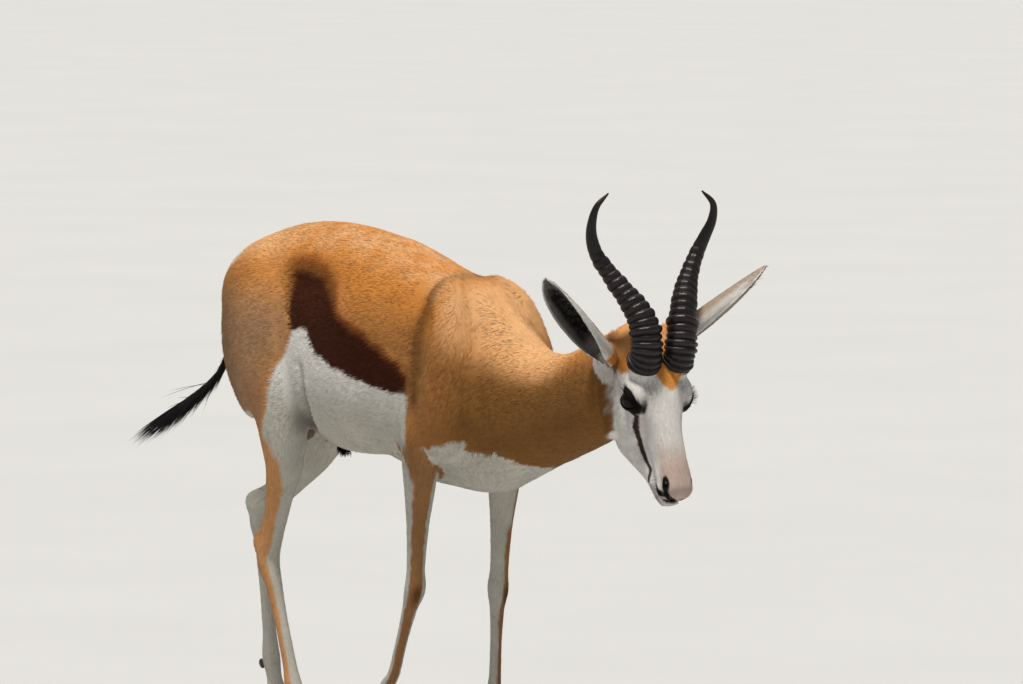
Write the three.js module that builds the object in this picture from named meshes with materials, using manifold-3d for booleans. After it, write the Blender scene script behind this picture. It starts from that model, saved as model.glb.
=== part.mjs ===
// A springbok ram at life size, walking slowly with its neck stretched forward and its face held upright.
// Millimetres, +X towards the animal's front, +Y to its left, +Z up. The floor is z = 0.

import * as THREE from "three";
import { mergeVertices } from "three/addons/utils/BufferGeometryUtils.js";
import Module from "manifold-3d";

const wasm = await Module();
wasm.setup();

// Driving sizes
const GAP = 0.3; // between two nodes that touch
const BACK = 787; // height of the arched back
const BELLY = 436; // height of the belly's lowest point
const BRISKET = 397; // height of the chest's lowest point, between the forelegs
const GIRTH = 116; // half of the body's greatest width
const HEAD_AT = [641, -6, 605]; // the middle of the forehead, between the horns
const HEAD_LENGTH = 278; // poll to nose
const FACE_PITCH = 69; // degrees that the face line points below the horizontal
const FACE_TURN = -12; // degrees that the face turns from straight ahead
const HORN_BASE_R = 22;
const HORN_RINGS = 18;
const EAR_LENGTH = 186;
const EYE_R = 17;
const HOOF_H = 32;
const FETLOCK_H = 76;

const BRIGHT = { roughness: 0.8, metalness: 0 };
const tan = new THREE.MeshStandardMaterial({ color: 0xb87a48, ...BRIGHT });
const white = new THREE.MeshStandardMaterial({ color: 0xe4ddd2, ...BRIGHT });
const black = new THREE.MeshStandardMaterial({ color: 0x1c1714, ...BRIGHT });
const horny = new THREE.MeshStandardMaterial({ color: 0x2a2221, roughness: 0.4, metalness: 0 });
const glossy = new THREE.MeshStandardMaterial({ color: 0x0d0806, roughness: 0.08, metalness: 0 });

// Smooth values between stations

// The value at place x of a curve through (xs, ys) that never swings past its points.
function eased(xs, ys, x) {
  const last = xs.length - 1;
  let i = 0;
  while (i < last - 1 && x > xs[i + 1]) i++;
  const slope = (k) => (ys[k + 1] - ys[k]) / (xs[k + 1] - xs[k]);
  const lean = (k) => {
    if (k === 0) return slope(0);
    if (k === last) return slope(last - 1);
    const [a, b] = [slope(k - 1), slope(k)];
    return a * b <= 0 ? 0 : (2 * a * b) / (a + b);
  };
  const step = xs[i + 1] - xs[i];
  const t = Math.min(Math.max((x - xs[i]) / step, 0), 1);
  const [t2, t3] = [t * t, t * t * t];
  return (
    (2 * t3 - 3 * t2 + 1) * ys[i] +
    (t3 - 2 * t2 + t) * step * lean(i) +
    (3 * t2 - 2 * t3) * ys[i + 1] +
    (t3 - t2) * step * lean(i + 1)
  );
}

const mix = (a, b, t) => a + (b - a) * t;

// Closed skins

// Rows of points, each a closed loop of the same count, joined into one skin. Each end closes on a point.
function skinOver(rows, start, end) {
  const sides = rows[0].length;
  const flat = [start, ...rows.flat(), end];
  const at = (row, k) => 1 + row * sides + ((k + sides) % sides);
  const faces = [];
  for (let k = 0; k < sides; k++) {
    faces.push(0, at(0, k), at(0, k + 1));
    faces.push(flat.length - 1, at(rows.length - 1, k + 1), at(rows.length - 1, k));
    for (let row = 0; row < rows.length - 1; row++) {
      faces.push(at(row, k), at(row + 1, k), at(row + 1, k + 1));
      faces.push(at(row, k), at(row + 1, k + 1), at(row, k + 1));
    }
  }
  const skin = new THREE.BufferGeometry().setFromPoints(flat);
  skin.setIndex(faces);
  return skin;
}

function solid(geometry) {
  const bare = geometry.clone();
  bare.deleteAttribute("normal");
  bare.deleteAttribute("uv");
  const merged = mergeVertices(bare, 1e-4);
  const vertProperties = new Float32Array(merged.attributes.position.array);
  const triVerts = new Uint32Array(merged.index.array);
  const made = new wasm.Manifold(new wasm.Mesh({ numProp: 3, vertProperties, triVerts }));
  if (made.volume() > 0) return made;
  for (let i = 0; i < triVerts.length; i += 3) {
    [triVerts[i + 1], triVerts[i + 2]] = [triVerts[i + 2], triVerts[i + 1]];
  }
  return new wasm.Manifold(new wasm.Mesh({ numProp: 3, vertProperties, triVerts }));
}

// A limb or body swept through stations [x, y, z, side, top, bottom]: a centre, the half-width across, and the
// reach above and below the centre. On a leg, above is towards the front. peak and full shape the two halves:
// 2 is an ellipse, less is more pointed and more is squarer. Upright sections stand square to X.
function sweep(stations, { sides = 16, between = 1, peak = 2, full = 2, grow = 0, upright = false } = {}) {
  const run = [0];
  for (let i = 1; i < stations.length; i++) {
    const [a, b] = [stations[i - 1], stations[i]].map(([x, y, z]) => new THREE.Vector3(x, y, z));
    run.push(run[i - 1] + a.distanceTo(b));
  }
  const field = (k, s) => eased(run, stations.map((row) => row[k]), s);
  const centre = (s) => new THREE.Vector3(field(0, s), field(1, s), field(2, s));
  const reach = run[run.length - 1];
  const places = [];
  for (let i = 0; i < run.length - 1; i++) {
    for (let k = 0; k <= between; k++) places.push(mix(run[i], run[i + 1], k / (between + 1)));
  }
  places.push(reach);
  const bent = (v, power) => Math.sign(v) * Math.abs(v) ** (2 / power);
  const rows = places.map((s) => {
    const probe = Math.min(reach * 0.01, 4);
    const [from, to] = [Math.max(s - probe, 0), Math.min(s + probe, reach)];
    const ahead = upright ? new THREE.Vector3(1, 0, 0) : centre(to).sub(centre(from)).normalize();
    const across = new THREE.Vector3(0, 1, 0).addScaledVector(ahead, -ahead.y).normalize();
    const up = new THREE.Vector3().crossVectors(ahead, across);
    return Array.from({ length: sides }, (_, k) => {
      const angle = (2 * Math.PI * k) / sides;
      const [c, w] = [Math.cos(angle), Math.sin(angle)];
      const power = c > 0 ? peak : full;
      const height = (field(c > 0 ? 4 : 5, s) + grow) * bent(c, power);
      return centre(s)
        .addScaledVector(across, (field(3, s) + grow) * bent(w, power))
        .addScaledVector(up, height);
    });
  });
  const out = (s, sign) => {
    const reachOut = Math.min(field(3, s), field(4, s)) * 0.35 + grow;
    const way = centre(Math.min(s + 1, reach)).sub(centre(Math.max(s - 1, 0))).normalize();
    return centre(s).addScaledVector(way, sign * reachOut);
  };
  return solid(skinOver(rows, out(0, -1), out(reach, 1)));
}

function ball([x, y, z], [rx, ry, rz], grow = 0, [turn, pitch] = [0, 0], detail = 12) {
  const round = new THREE.SphereGeometry(1, detail, Math.round(detail * 0.7));
  round.scale(rx + grow, ry + grow, rz + grow);
  round.rotateY(THREE.MathUtils.degToRad(pitch));
  round.rotateZ(THREE.MathUtils.degToRad(turn));
  round.translate(x, y, z);
  return solid(round);
}

const joined = (pieces) => wasm.Manifold.union(pieces);

const mirrored = (stations) => stations.map(([x, y, ...rest]) => [x, -y, ...rest]);

// The largest closed surface of a solid, as geometry for a mesh.
function geometryOf(shape) {
  const largest = shape.decompose().sort((a, b) => b.volume() - a.volume())[0];
  const { numProp, vertProperties, triVerts } = largest.getMesh();
  const position = new Float32Array((vertProperties.length / numProp) * 3);
  for (let i = 0; i < position.length / 3; i++) {
    position.set(vertProperties.subarray(i * numProp, i * numProp + 3), i * 3);
  }
  const geometry = new THREE.BufferGeometry();
  geometry.setAttribute("position", new THREE.BufferAttribute(position, 3));
  geometry.setIndex(new THREE.BufferAttribute(new Uint32Array(triVerts), 1));
  geometry.computeVertexNormals();
  return geometry;
}

function piece(name, shape, material) {
  const mesh = new THREE.Mesh(geometryOf(shape), material);
  mesh.name = name;
  return mesh;
}

// Body and neck, one sweep from rump to poll

// [x, top, bottom, widest height, half-width, lean to the left]
const BODY_LINE = [
  [-345, 700, 650, 676, 16, 0],
  [-334, 728, 600, 668, 48, 0],
  [-305, 748, 560, 660, 74, 0],
  [-262, 763, 532, 650, 88, 0],
  [-205, 779, 508, 630, 90, 0],
  [-145, BACK, 470, 605, 94, 0],
  [-85, BACK, BELLY + 8, 580, 105, 0],
  [-25, 781, BELLY, 562, GIRTH - 3, 0],
  [40, 770, BELLY + 2, 556, GIRTH, 0],
  [105, 752, 422, 556, GIRTH - 3, 0],
  [165, 730, 402, 556, 106, 0],
  [220, 706, BRISKET, 552, 97, 0],
  [270, 678, BRISKET, 546, 88, 0],
  [318, 645, 414, 538, 77, 0],
  [365, 621, 432, 530, 67, -2],
  [415, 616, 450, 533, 60, -6],
  [465, 626, 467, 544, 56, -11],
  [515, 644, 484, 560, 54, -17],
  [562, 660, 502, 578, 46, -22],
];

function bodySweep(grow = 0) {
  const stations = BODY_LINE.map(([x, top, bottom, wide, half, lean]) => {
    return [x, lean, wide, half, top - wide, wide - bottom];
  });
  const trunk = sweep(stations, { sides: 26, between: 1, peak: 1.85, full: 2.15, upright: true, grow });
  const sheath = ball([-124, 0, BELLY + 22], [32, 9, 12], 0, [0, 12], 10);
  const purse = ball([-192, 0, 478], [20, 21, 32], 0, [0, 0], 10);
  return joined([trunk, sheath, purse]);
}

const NECK_CUT_X = 338; // where the neck leaves the torso
const NECK_CUT_Z = 520;
const NECK_CUT_LEAN = 0.35;

// Legs

const TOE_REACH = 32; // from the middle of the coronet forward to the toe
const HOOF_SPLAY = 3; // degrees each claw turns outwards
const HOOF_HALF_W = 10.5;
const HOOF_SPREAD = 11.6; // middle of each claw from the middle of the foot
const CORONET_FRONT = 16;

// Joints of each leg: [x, height], and the hoof's turn in degrees where it stands on its tip.
const FORELEGS = {
  left: { side: 1, elbow: [188, 452], knee: [186, 248], fetlock: [178, FETLOCK_H], stance: 64, tip: 0 },
  right: { side: -1, elbow: [178, 456], knee: [146, 252], fetlock: [80, FETLOCK_H], stance: 63, tip: 0 },
};
const HINDLEGS = {
  left: { side: 1, stifle: [-186, 472], hock: [-384, 312], fetlock: [-358, 97], stance: 64, tip: 52 },
  right: { side: -1, stifle: [-110, 494], hock: [-204, 270], fetlock: [-142, FETLOCK_H], stance: 62, tip: 0 },
};

const lerp2 = ([ax, az], [bx, bz], t) => [mix(ax, bx, t), mix(az, bz, t)];

// Where the hair ends above the hoof: a hoof's height off the floor, or higher where the hoof stands on its tip.
function coronetOf({ fetlock: [x], tip }) {
  if (!tip) return [x + 34, HOOF_H];
  const turn = THREE.MathUtils.degToRad(tip);
  return [x + 12, HOOF_H * Math.cos(turn) + TOE_REACH * Math.sin(turn) - 2];
}

function footStations({ fetlock, stance }, coronet) {
  const pastern = lerp2(fetlock, coronet, 0.5);
  return [
    [fetlock[0], stance, fetlock[1] + 20, 12.5, 12, 15],
    [fetlock[0], stance, fetlock[1], 15.5, 14, 18],
    [pastern[0], stance, pastern[1], 14, 12, 13],
    [coronet[0] - 1, stance, coronet[1] + 7, 18, CORONET_FRONT - 2, 15],
    [coronet[0], stance, coronet[1] + 1, 20, CORONET_FRONT, 16],
  ];
}

function foreleg(leg, grow = 0) {
  const { elbow, knee, fetlock, stance } = leg;
  const y = (t) => mix(78, stance, t);
  const [arm1, arm2] = [lerp2(elbow, knee, 0.25), lerp2(elbow, knee, 0.58)];
  const [arm3, shank1] = [lerp2(elbow, knee, 0.86), lerp2(knee, fetlock, 0.2)];
  const [shank2, shank3] = [lerp2(knee, fetlock, 0.5), lerp2(knee, fetlock, 0.76)];
  const lift = (elbow[0] - 186) * 0.4;
  const stations = [
    [204, 36, 712, 9, 16, 22],
    [212 + lift, 56, 678, 21, 38, 48],
    [230 + lift, 71, 630, 28, 47, 62],
    [243 + lift, 80, 575, 33, 56, 68],
    [242 + lift, 82, 520, 36, 58, 66],
    [elbow[0] + 14, 79, 482, 34, 46, 52],
    [elbow[0], y(0.1), elbow[1] - 12, 28, 34, 38],
    [arm1[0], y(0.3), arm1[1] - 8, 23, 26, 28],
    [arm2[0], y(0.6), arm2[1], 18, 18, 19],
    [arm3[0], y(0.85), arm3[1], 16, 15.5, 15],
    [knee[0], stance, knee[1], 18.5, 17.5, 17],
    [shank1[0], stance, shank1[1], 13, 11, 13.5],
    [shank2[0], stance, shank2[1], 10.5, 9.5, 12],
    [shank3[0], stance, shank3[1], 11, 9.5, 12],
    ...footStations(leg, coronetOf(leg)),
  ];
  return sweep(leg.side > 0 ? stations : mirrored(stations), { sides: 14, between: 0, peak: 1.85, full: 1.85, grow });
}

function hindleg(leg, grow = 0) {
  const { stifle, hock, fetlock, stance } = leg;
  const y = (t) => mix(78, stance, t);
  const [shin1, shin2] = [lerp2(stifle, hock, 0.32), lerp2(stifle, hock, 0.6)];
  const [shin3, shank1] = [lerp2(stifle, hock, 0.84), lerp2(hock, fetlock, 0.2)];
  const [shank2, shank3] = [lerp2(hock, fetlock, 0.5), lerp2(hock, fetlock, 0.8)];
  const swing = (stifle[0] + 118) * 0.4;
  const [fall, slope] = [hock[0] - stifle[0], hock[1] - stifle[1]];
  const shin = Math.hypot(fall, slope);
  const behind = ([x, z], off, t) => [x + (off * slope) / shin, y(t), z - (off * fall) / shin];
  const stations = [
    [-222, 42, 744, 12, 26, 34],
    [-221, 57, 708, 25, 54, 70],
    [-217 + swing * 0.3, 68, 656, 34, 76, 92],
    [-208 + swing * 0.5, 74, 602, 37, 86, 94],
    [-188 + swing * 0.8, 77, 550, 37, 80, 84],
    [stifle[0] - 46, 77, stifle[1] + 14, 34, 64, 62],
    [shin1[0] - 10, y(0.25), shin1[1] + 6, 27, 37, 44],
    [shin2[0] - 3, y(0.55), shin2[1], 19.5, 22, 31],
    [shin3[0], y(0.85), shin3[1], 15.5, 16, 24],
    [hock[0], stance, hock[1], 17.5, 18, 24],
    [shank1[0], stance, shank1[1], 14, 14, 17],
    [shank2[0], stance, shank2[1], 11.5, 11.5, 13.5],
    [shank3[0], stance, shank3[1], 12, 11.5, 14],
    ...footStations(leg, coronetOf(leg)).slice(1),
  ];
  // Heel bone and the tendon that runs from it up to the calf
  const heel = [
    [hock[0] + 4, stance, hock[1] - 12, 11, 12, 12],
    [hock[0] - 20, stance, hock[1] + 12, 10, 11, 11],
    [hock[0] - 28, stance, hock[1] + 26, 9, 9, 24],
    [...behind(shin3, 31, 0.85), 6.5, 6, 25],
    [...behind(shin2, 25, 0.55), 10, 9, 16],
    [...behind(shin1, 16, 0.25), 16, 16, 16],
  ];
  const place = (rows) => (leg.side > 0 ? rows : mirrored(rows));
  return joined([
    sweep(place(stations), { sides: 14, between: 0, full: 1.8, grow }),
    sweep(place(heel), { sides: 8, between: 0, grow }),
  ]);
}

// One claw of a hoof, standing at the origin with its toe towards +X: rings from the coronet to a flat sole.
function claw() {
  const rings = [
    [HOOF_H, 0, 15, 9.5],
    [HOOF_H * 0.55, 3, 20, 10.2],
    [4, 7, 25, HOOF_HALF_W],
    [0, 7.5, 24.5, HOOF_HALF_W - 0.5],
  ];
  const rows = rings.map(([z, ahead, half, wide]) => {
    return Array.from({ length: 14 }, (_, k) => {
      const angle = (2 * Math.PI * k) / 14;
      const pinch = Math.cos(angle) > 0 ? 1 - 0.45 * Math.cos(angle) : 1;
      return new THREE.Vector3(ahead + half * Math.cos(angle), wide * pinch * Math.sin(angle), z);
    });
  });
  return skinOver(rows, new THREE.Vector3(0, 0, HOOF_H), new THREE.Vector3(7.5, 0, 0));
}

const FLOOR_BOX = solid(new THREE.BoxGeometry(3000, 3000, 200).translate(0, 0, -100));

function hoof(leg, outer, grow = 0) {
  const [x, z] = coronetOf(leg);
  const shape = claw();
  const offset = outer * HOOF_SPREAD;
  shape.rotateZ(THREE.MathUtils.degToRad(outer * leg.side * HOOF_SPLAY));
  shape.translate(0, leg.side * offset, -HOOF_H);
  if (leg.tip) shape.rotateY(THREE.MathUtils.degToRad(leg.tip));
  shape.translate(x, leg.side * leg.stance, z);
  const made = solid(shape);
  return grow ? made : made.subtract(FLOOR_BOX);
}

// Head, built level with its nose towards +X and its forehead line on z = 0, then turned by its group.
// The origin is on the forehead between the horns.

const NOSE_X = 190;
const POLL_X = NOSE_X - HEAD_LENGTH;
const EYE_AT = [36, 39.5, -35];
const HORN_AT = [-8, 27, -4];

function skull(grow = 0) {
  const face = sweep(
    [
      [POLL_X, 0, -74, 14, 16, 22],
      [POLL_X + 10, 0, -68, 27, 32, 34],
      [POLL_X + 26, 0, -60, 37, 42, 44],
      [-34, 0, -50, 43, 43, 52],
      [5, 0, -46, 45, 45, 56],
      [36, 0, -42, 42, 41, 58],
      [66, 0, -38, 32, 35, 56],
      [98, 0, -34, 24.5, 31, 44],
      [130, 0, -30, 23.5, 27, 33],
      [158, 0, -29, 26, 25, 25],
      [178, 0, -28, 25, 22, 21],
      [NOSE_X - 2, 0, -27, 16, 14, 14],
    ],
    { sides: 16, between: 1, peak: 2.3, full: 2.1, upright: true, grow },
  );
  const jaw = sweep(
    [
      [2, 0, -94, 31, 22, 29],
      [38, 0, -98, 41, 30, 40],
      [78, 0, -94, 38, 30, 46],
      [116, 0, -80, 28, 24, 35],
      [150, 0, -65, 21, 15, 20],
      [176, 0, -56, 20, 11, 15],
      [190, 0, -53, 15, 7, 10],
    ],
    { sides: 12, between: 1, peak: 2.2, full: 2.1, upright: true, grow },
  );
  const sides = [1, -1].flatMap((s) => [
    ball([EYE_AT[0] - 5, s * 37.5, -30], [29, 17, 24], grow, [0, 10], 12),
    ball([46, s * 28, -80], [46, 16, 40], grow, [0, 20], 10),
    ball([HORN_AT[0], s * HORN_AT[1], -14], [26, 22, 20], grow, [0, 0], 10),
    ball([-42, s * 33, -56], [22, 19, 24], grow, [0, 0], 10),
    ball([170, s * 15, -33], [17, 12, 16], grow, [0, 0], 10),
  ]);
  return joined([face, jaw, ...sides]);
}

// An almond prism through one lid, open towards the side s.
function lidOpening(s) {
  const [half, rise] = [18, 11];
  const almond = new THREE.Shape();
  almond.moveTo(-half, 0);
  almond.quadraticCurveTo(-2, 2 * rise, half, -2);
  almond.quadraticCurveTo(0, -1.7 * rise, -half, 0);
  const prism = new THREE.ExtrudeGeometry(almond, { depth: 40, bevelEnabled: false, curveSegments: 5 });
  prism.rotateX(Math.PI / 2);
  prism.translate(0, s > 0 ? 60 : -20, 0);
  prism.rotateY(THREE.MathUtils.degToRad(-28));
  prism.translate(EYE_AT[0], s * 26, EYE_AT[2]);
  return solid(prism);
}

// The line between the lips, a thin wedge from one mouth corner round the front to the other.
function mouthLine() {
  const line = new THREE.Shape();
  line.moveTo(134, -54);
  line.quadraticCurveTo(164, -46, 206, -45.5);
  line.lineTo(206, -44);
  line.quadraticCurveTo(164, -44.3, 134, -52.8);
  line.closePath();
  const slot = new THREE.ExtrudeGeometry(line, { depth: 80, bevelEnabled: false, curveSegments: 5 });
  slot.rotateX(Math.PI / 2);
  slot.translate(0, 40, 0);
  const core = sweep(
    [
      [112, 0, -48, 8, 30, 30],
      [158, 0, -46, 17, 30, 30],
      [174, 0, -46, 15, 30, 30],
      [181, 0, -46, 7, 30, 30],
    ],
    { sides: 12, between: 0 },
  );
  return solid(slot).subtract(core);
}

function nostril(s) {
  return sweep(
    [
      [160, s * 25, -14, 1.5, 2, 2],
      [169, s * 21.5, -17, 3, 3, 3],
      [178, s * 17, -22, 4.6, 4.6, 4.6],
      [187, s * 11.5, -27, 4, 5, 4],
      [193, s * 8, -30, 3, 4, 3],
    ],
    { sides: 9, between: 0 },
  );
}

function headShape() {
  const sockets = [1, -1].flatMap((s) => [
    ball([EYE_AT[0], s * EYE_AT[1], EYE_AT[2]], [EYE_R, EYE_R, EYE_R], GAP, [0, 0], 14),
    lidOpening(s),
    nostril(s),
  ]);
  return skull().subtract(joined([...sockets, mouthLine()]));
}

const eye = (s) => ball([EYE_AT[0], s * EYE_AT[1], EYE_AT[2]], [EYE_R, EYE_R, EYE_R], 0, [0, 0], 14);

// Path of the left horn, in the head's frame: along the nose, outwards, off the face plane
const HORN_PATH = [
  [-8, 27, -14],
  [-17, 27, 3],
  [-40, 28, 15],
  [-67, 32, 19],
  [-93, 41, 16],
  [-119, 53, 10],
  [-145, 67, 7],
  [-169, 81, 9],
  [-190, 92, 22],
  [-208, 98, 41],
  [-227, 95, 58],
  [-244, 77, 66],
];
const LEFT_BOW = 3; // the left horn bends further out than the right one
// Share of the horn's length, and its radius there as a share of the base's.
const HORN_TAPER = [
  [0, 1.02],
  [0.16, 0.98],
  [0.3, 0.83],
  [0.44, 0.66],
  [0.58, 0.51],
  [0.72, 0.37],
  [0.86, 0.24],
  [0.95, 0.14],
  [1, 0.05],
];

function horn(s) {
  const points = HORN_PATH.map(([x, out, z], i) => {
    const bow = s > 0 ? LEFT_BOW * Math.sin((Math.PI * i) / (HORN_PATH.length - 1)) : 0;
    return new THREE.Vector3(x, s * (out + bow), z);
  });
  const path = new THREE.CatmullRomCurve3(points, false, "centripetal");
  const [shares, radii] = [HORN_TAPER.map(([t]) => t), HORN_TAPER.map(([, r]) => r * HORN_BASE_R)];
  const ringed = 0.7;
  const stations = [];
  const add = (t, factor) => {
    const p = path.getPointAt(t);
    const r = eased(shares, radii, t) * factor;
    stations.push([p.x, p.y, p.z, r, r * 1.06, r * 1.06]);
  };
  for (let ring = 0; ring < HORN_RINGS; ring++) {
    const t = (share) => ringed * ((ring + share) / HORN_RINGS) ** 1.12;
    const depth = mix(0.12, 0.07, ring / HORN_RINGS);
    add(t(0), 1 - depth);
    add(t(0.62), 1 + depth * 0.5);
  }
  for (const t of [0.71, 0.76, 0.81, 0.86, 0.9, 0.94, 0.97, 1]) add(t, 0.99);
  return sweep(stations, { sides: 11, between: 0 });
}

// Ears: a leaf rolled into a tube at its root and opening towards its tip

// Root, and root to tip, in the head's frame. The left ear is held a little higher than the right one.
const EAR_AT = { 1: new THREE.Vector3(-62, 36, -58), [-1]: new THREE.Vector3(-39, 41, -62) };
const EAR_OUT = { 1: new THREE.Vector3(-76, 142, 92), [-1]: new THREE.Vector3(-92, 134, 82) };
const EAR_OPEN = new THREE.Vector3(0.8, 0.7, 0.25); // the way that the cup faces
const EAR_THICK = 2.6;
// Share of the length, radius of the roll, and half of the roll's closed angle in degrees
const EAR_ROLL = [
  [0, 13, 172],
  [0.12, 15, 158],
  [0.28, 19, 128],
  [0.45, 21.5, 108],
  [0.62, 22.5, 94],
  [0.78, 21, 82],
  [0.9, 16.5, 70],
  [0.97, 9.5, 60],
  [1, 3.5, 55],
];

function ear(s) {
  const along = EAR_OUT[s].clone().normalize();
  const open = EAR_OPEN.clone().addScaledVector(along, -EAR_OPEN.dot(along)).normalize();
  const wide = new THREE.Vector3().crossVectors(along, open);
  const [shares, radii, angles] = [0, 1, 2].map((k) => EAR_ROLL.map((row) => row[k]));
  const count = 10;
  const rows = shares.map((t) => {
    const [r, half] = [eased(shares, radii, t), THREE.MathUtils.degToRad(eased(shares, angles, t))];
    const middle = EAR_AT[s].clone().addScaledVector(along, t * EAR_LENGTH);
    middle.addScaledVector(open, r * 0.85);
    const arc = (radius, k) => {
      const angle = mix(-half, half, k / (count - 1));
      return middle
        .clone()
        .addScaledVector(open, -radius * Math.cos(angle))
        .addScaledVector(wide, radius * Math.sin(angle));
    };
    const thick = Math.min(EAR_THICK, r * 0.45);
    const outer = Array.from({ length: count }, (_, k) => arc(r, k));
    const inner = Array.from({ length: count }, (_, k) => arc(r - thick, count - 1 - k));
    return [...outer, ...inner].map((p) => p.setY(s * p.y));
  });
  return solid(closedStrip(rows));
}

// Like skinOver, for a thin bent section: its two ends close with strips and not on a point.
function closedStrip(rows) {
  const loop = rows[0].length;
  const half = loop / 2;
  const flat = rows.flat();
  const at = (row, k) => row * loop + ((k + loop) % loop);
  const faces = [];
  for (let row = 0; row < rows.length - 1; row++) {
    for (let k = 0; k < loop; k++) {
      const [a, b, c, d] = [at(row, k), at(row + 1, k), at(row + 1, k + 1), at(row, k + 1)];
      if (k < half) faces.push(a, b, c, a, c, d);
      else faces.push(a, b, d, b, c, d);
    }
  }
  for (const row of [0, rows.length - 1]) {
    for (let k = 0; k < half - 1; k++) {
      const quad = [at(row, k), at(row, k + 1), at(row, loop - 2 - k), at(row, loop - 1 - k)];
      const [a, b, c, d] = row === 0 ? quad : [quad[1], quad[0], quad[3], quad[2]];
      faces.push(a, b, c, a, c, d);
    }
  }
  const skin = new THREE.BufferGeometry().setFromPoints(flat);
  skin.setIndex(faces);
  return skin;
}

// Tail: a thin white root that hangs clear of the rump, ending in a black brush of locks

const TAIL_PATH = [
  [-322, 0, 720],
  [-344, 1, 688],
  [-359, 2, 642],
  [-372, 2, 592],
  [-391, -4, 547],
  [-420, -18, 514],
  [-446, -32, 495],
];
const LOCKS = 11;
const LOCK_LENGTH = 98;

function tail(grow = 0) {
  const radii = [17, 14, 9.5, 7.5, 6.5, 7, 5];
  const core = sweep(
    TAIL_PATH.map((p, i) => [...p, radii[i], radii[i] * 0.8, radii[i] * 0.8]),
    { sides: 10, between: 1, grow },
  );
  if (grow) return core;
  const end = new THREE.Vector3(...TAIL_PATH.at(-1));
  const way = end.clone().sub(new THREE.Vector3(...TAIL_PATH.at(-3))).normalize();
  const locks = Array.from({ length: LOCKS }, (_, k) => {
    const turn = (2 * Math.PI * k) / LOCKS;
    const ring = k % 2 ? 1 : 0.35;
    const length = LOCK_LENGTH * (1 - 0.12 * (k % 3));
    const root = end.clone().addScaledVector(way, -20 + 8 * (k % 4));
    const stations = [0, 0.3, 0.65, 1].map((t) => {
      const spread = ring * (3 + 9 * Math.sin(Math.PI * Math.min(t * 1.1, 1)) * (1 - 0.5 * t));
      const p = root.clone().addScaledVector(way, t * length);
      const sag = 9 * t * t * (1 + 0.8 * Math.max(0, -Math.sin(turn)));
      const [flat, thick] = [mix(6, 1.2, t ** 1.5), mix(3.4, 0.8, t ** 1.5)];
      return [p.x, p.y + spread * Math.cos(turn), p.z + spread * Math.sin(turn) - sag, flat, thick, thick];
    });
    return sweep(stations, { sides: 5, between: 0 });
  });
  return joined([core, ...locks]);
}

// Assembly

// How a solid built in the head's own frame sits in the body's frame.
function headPlace() {
  const [pitch, turn] = [FACE_PITCH, FACE_TURN].map(THREE.MathUtils.degToRad);
  const place = new THREE.Matrix4().makeRotationFromEuler(new THREE.Euler(0, pitch, turn, "ZYX"));
  return place.setPosition(...HEAD_AT).elements;
}

function headPieces(neckRoom) {
  const place = headPlace();
  const grown = skull(1.6 * GAP);
  const pieces = [piece("head", headShape().transform(place), white)];
  for (const [side, s] of Object.entries({ left: 1, right: -1 })) {
    pieces.push(piece(`horn_${side}`, horn(s).subtract(grown).transform(place), horny));
    pieces.push(piece(`eye_${side}`, eye(s).transform(place), glossy));
    pieces.push(piece(`ear_${side}`, ear(s).subtract(grown).transform(place).subtract(neckRoom), white));
  }
  return pieces;
}

function legPieces(name, make, leg) {
  const room = joined([1, -1].map((outer) => hoof(leg, outer, 1)));
  return [
    piece(name, make(leg).subtract(room), tan),
    piece(`${name}_hoof_outer`, hoof(leg, 1), horny),
    piece(`${name}_hoof_inner`, hoof(leg, -1), horny),
  ];
}

// The two halves of a solid either side of the plane where the neck leaves the torso.
function cutAtNeck(whole) {
  const normal = new THREE.Vector3(1, 0, -NECK_CUT_LEAN).normalize();
  const at = normal.x * NECK_CUT_X + normal.z * NECK_CUT_Z;
  const [ahead, behind] = [normal.toArray(), normal.clone().negate().toArray()];
  return [whole.trimByPlane(ahead, at + GAP / 2), whole.trimByPlane(behind, -at + GAP / 2)];
}

function build() {
  const animal = new THREE.Group();
  const legs = [
    ...Object.entries(FORELEGS).map(([side, leg]) => [`foreleg_${side}`, foreleg, leg]),
    ...Object.entries(HINDLEGS).map(([side, leg]) => [`hindleg_${side}`, hindleg, leg]),
  ];
  const sockets = legs.map(([, make, leg]) => make(leg, GAP));
  const [front, rear] = cutAtNeck(bodySweep());
  const skullRoom = skull(1.6 * GAP).transform(headPlace());
  animal.add(piece("torso", rear.subtract(joined([...sockets, tail(GAP)])), tan));
  animal.add(piece("neck", front.subtract(joined([skullRoom, ...sockets])), tan));
  animal.add(piece("tail", tail(), black));
  for (const [name, make, leg] of legs) animal.add(...legPieces(name, make, leg));
  animal.add(...headPieces(bodySweep(GAP)));
  return animal;
}

const springbok = build();

// The row's origin is on the floor under the middle of the whole.
const extent = new THREE.Box3().setFromObject(springbok);
const middle = extent.getCenter(new THREE.Vector3());
springbok.position.set(-middle.x, -middle.y, 0);

export default springbok;
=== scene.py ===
"""A springbok ram at life size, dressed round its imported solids: skin, coat, eyes, horns and hooves.

Shapes are worked out in the part's own millimetres, with +X front, +Y left and +Z up, and moved to the
row's metres last.
"""

import math

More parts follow.
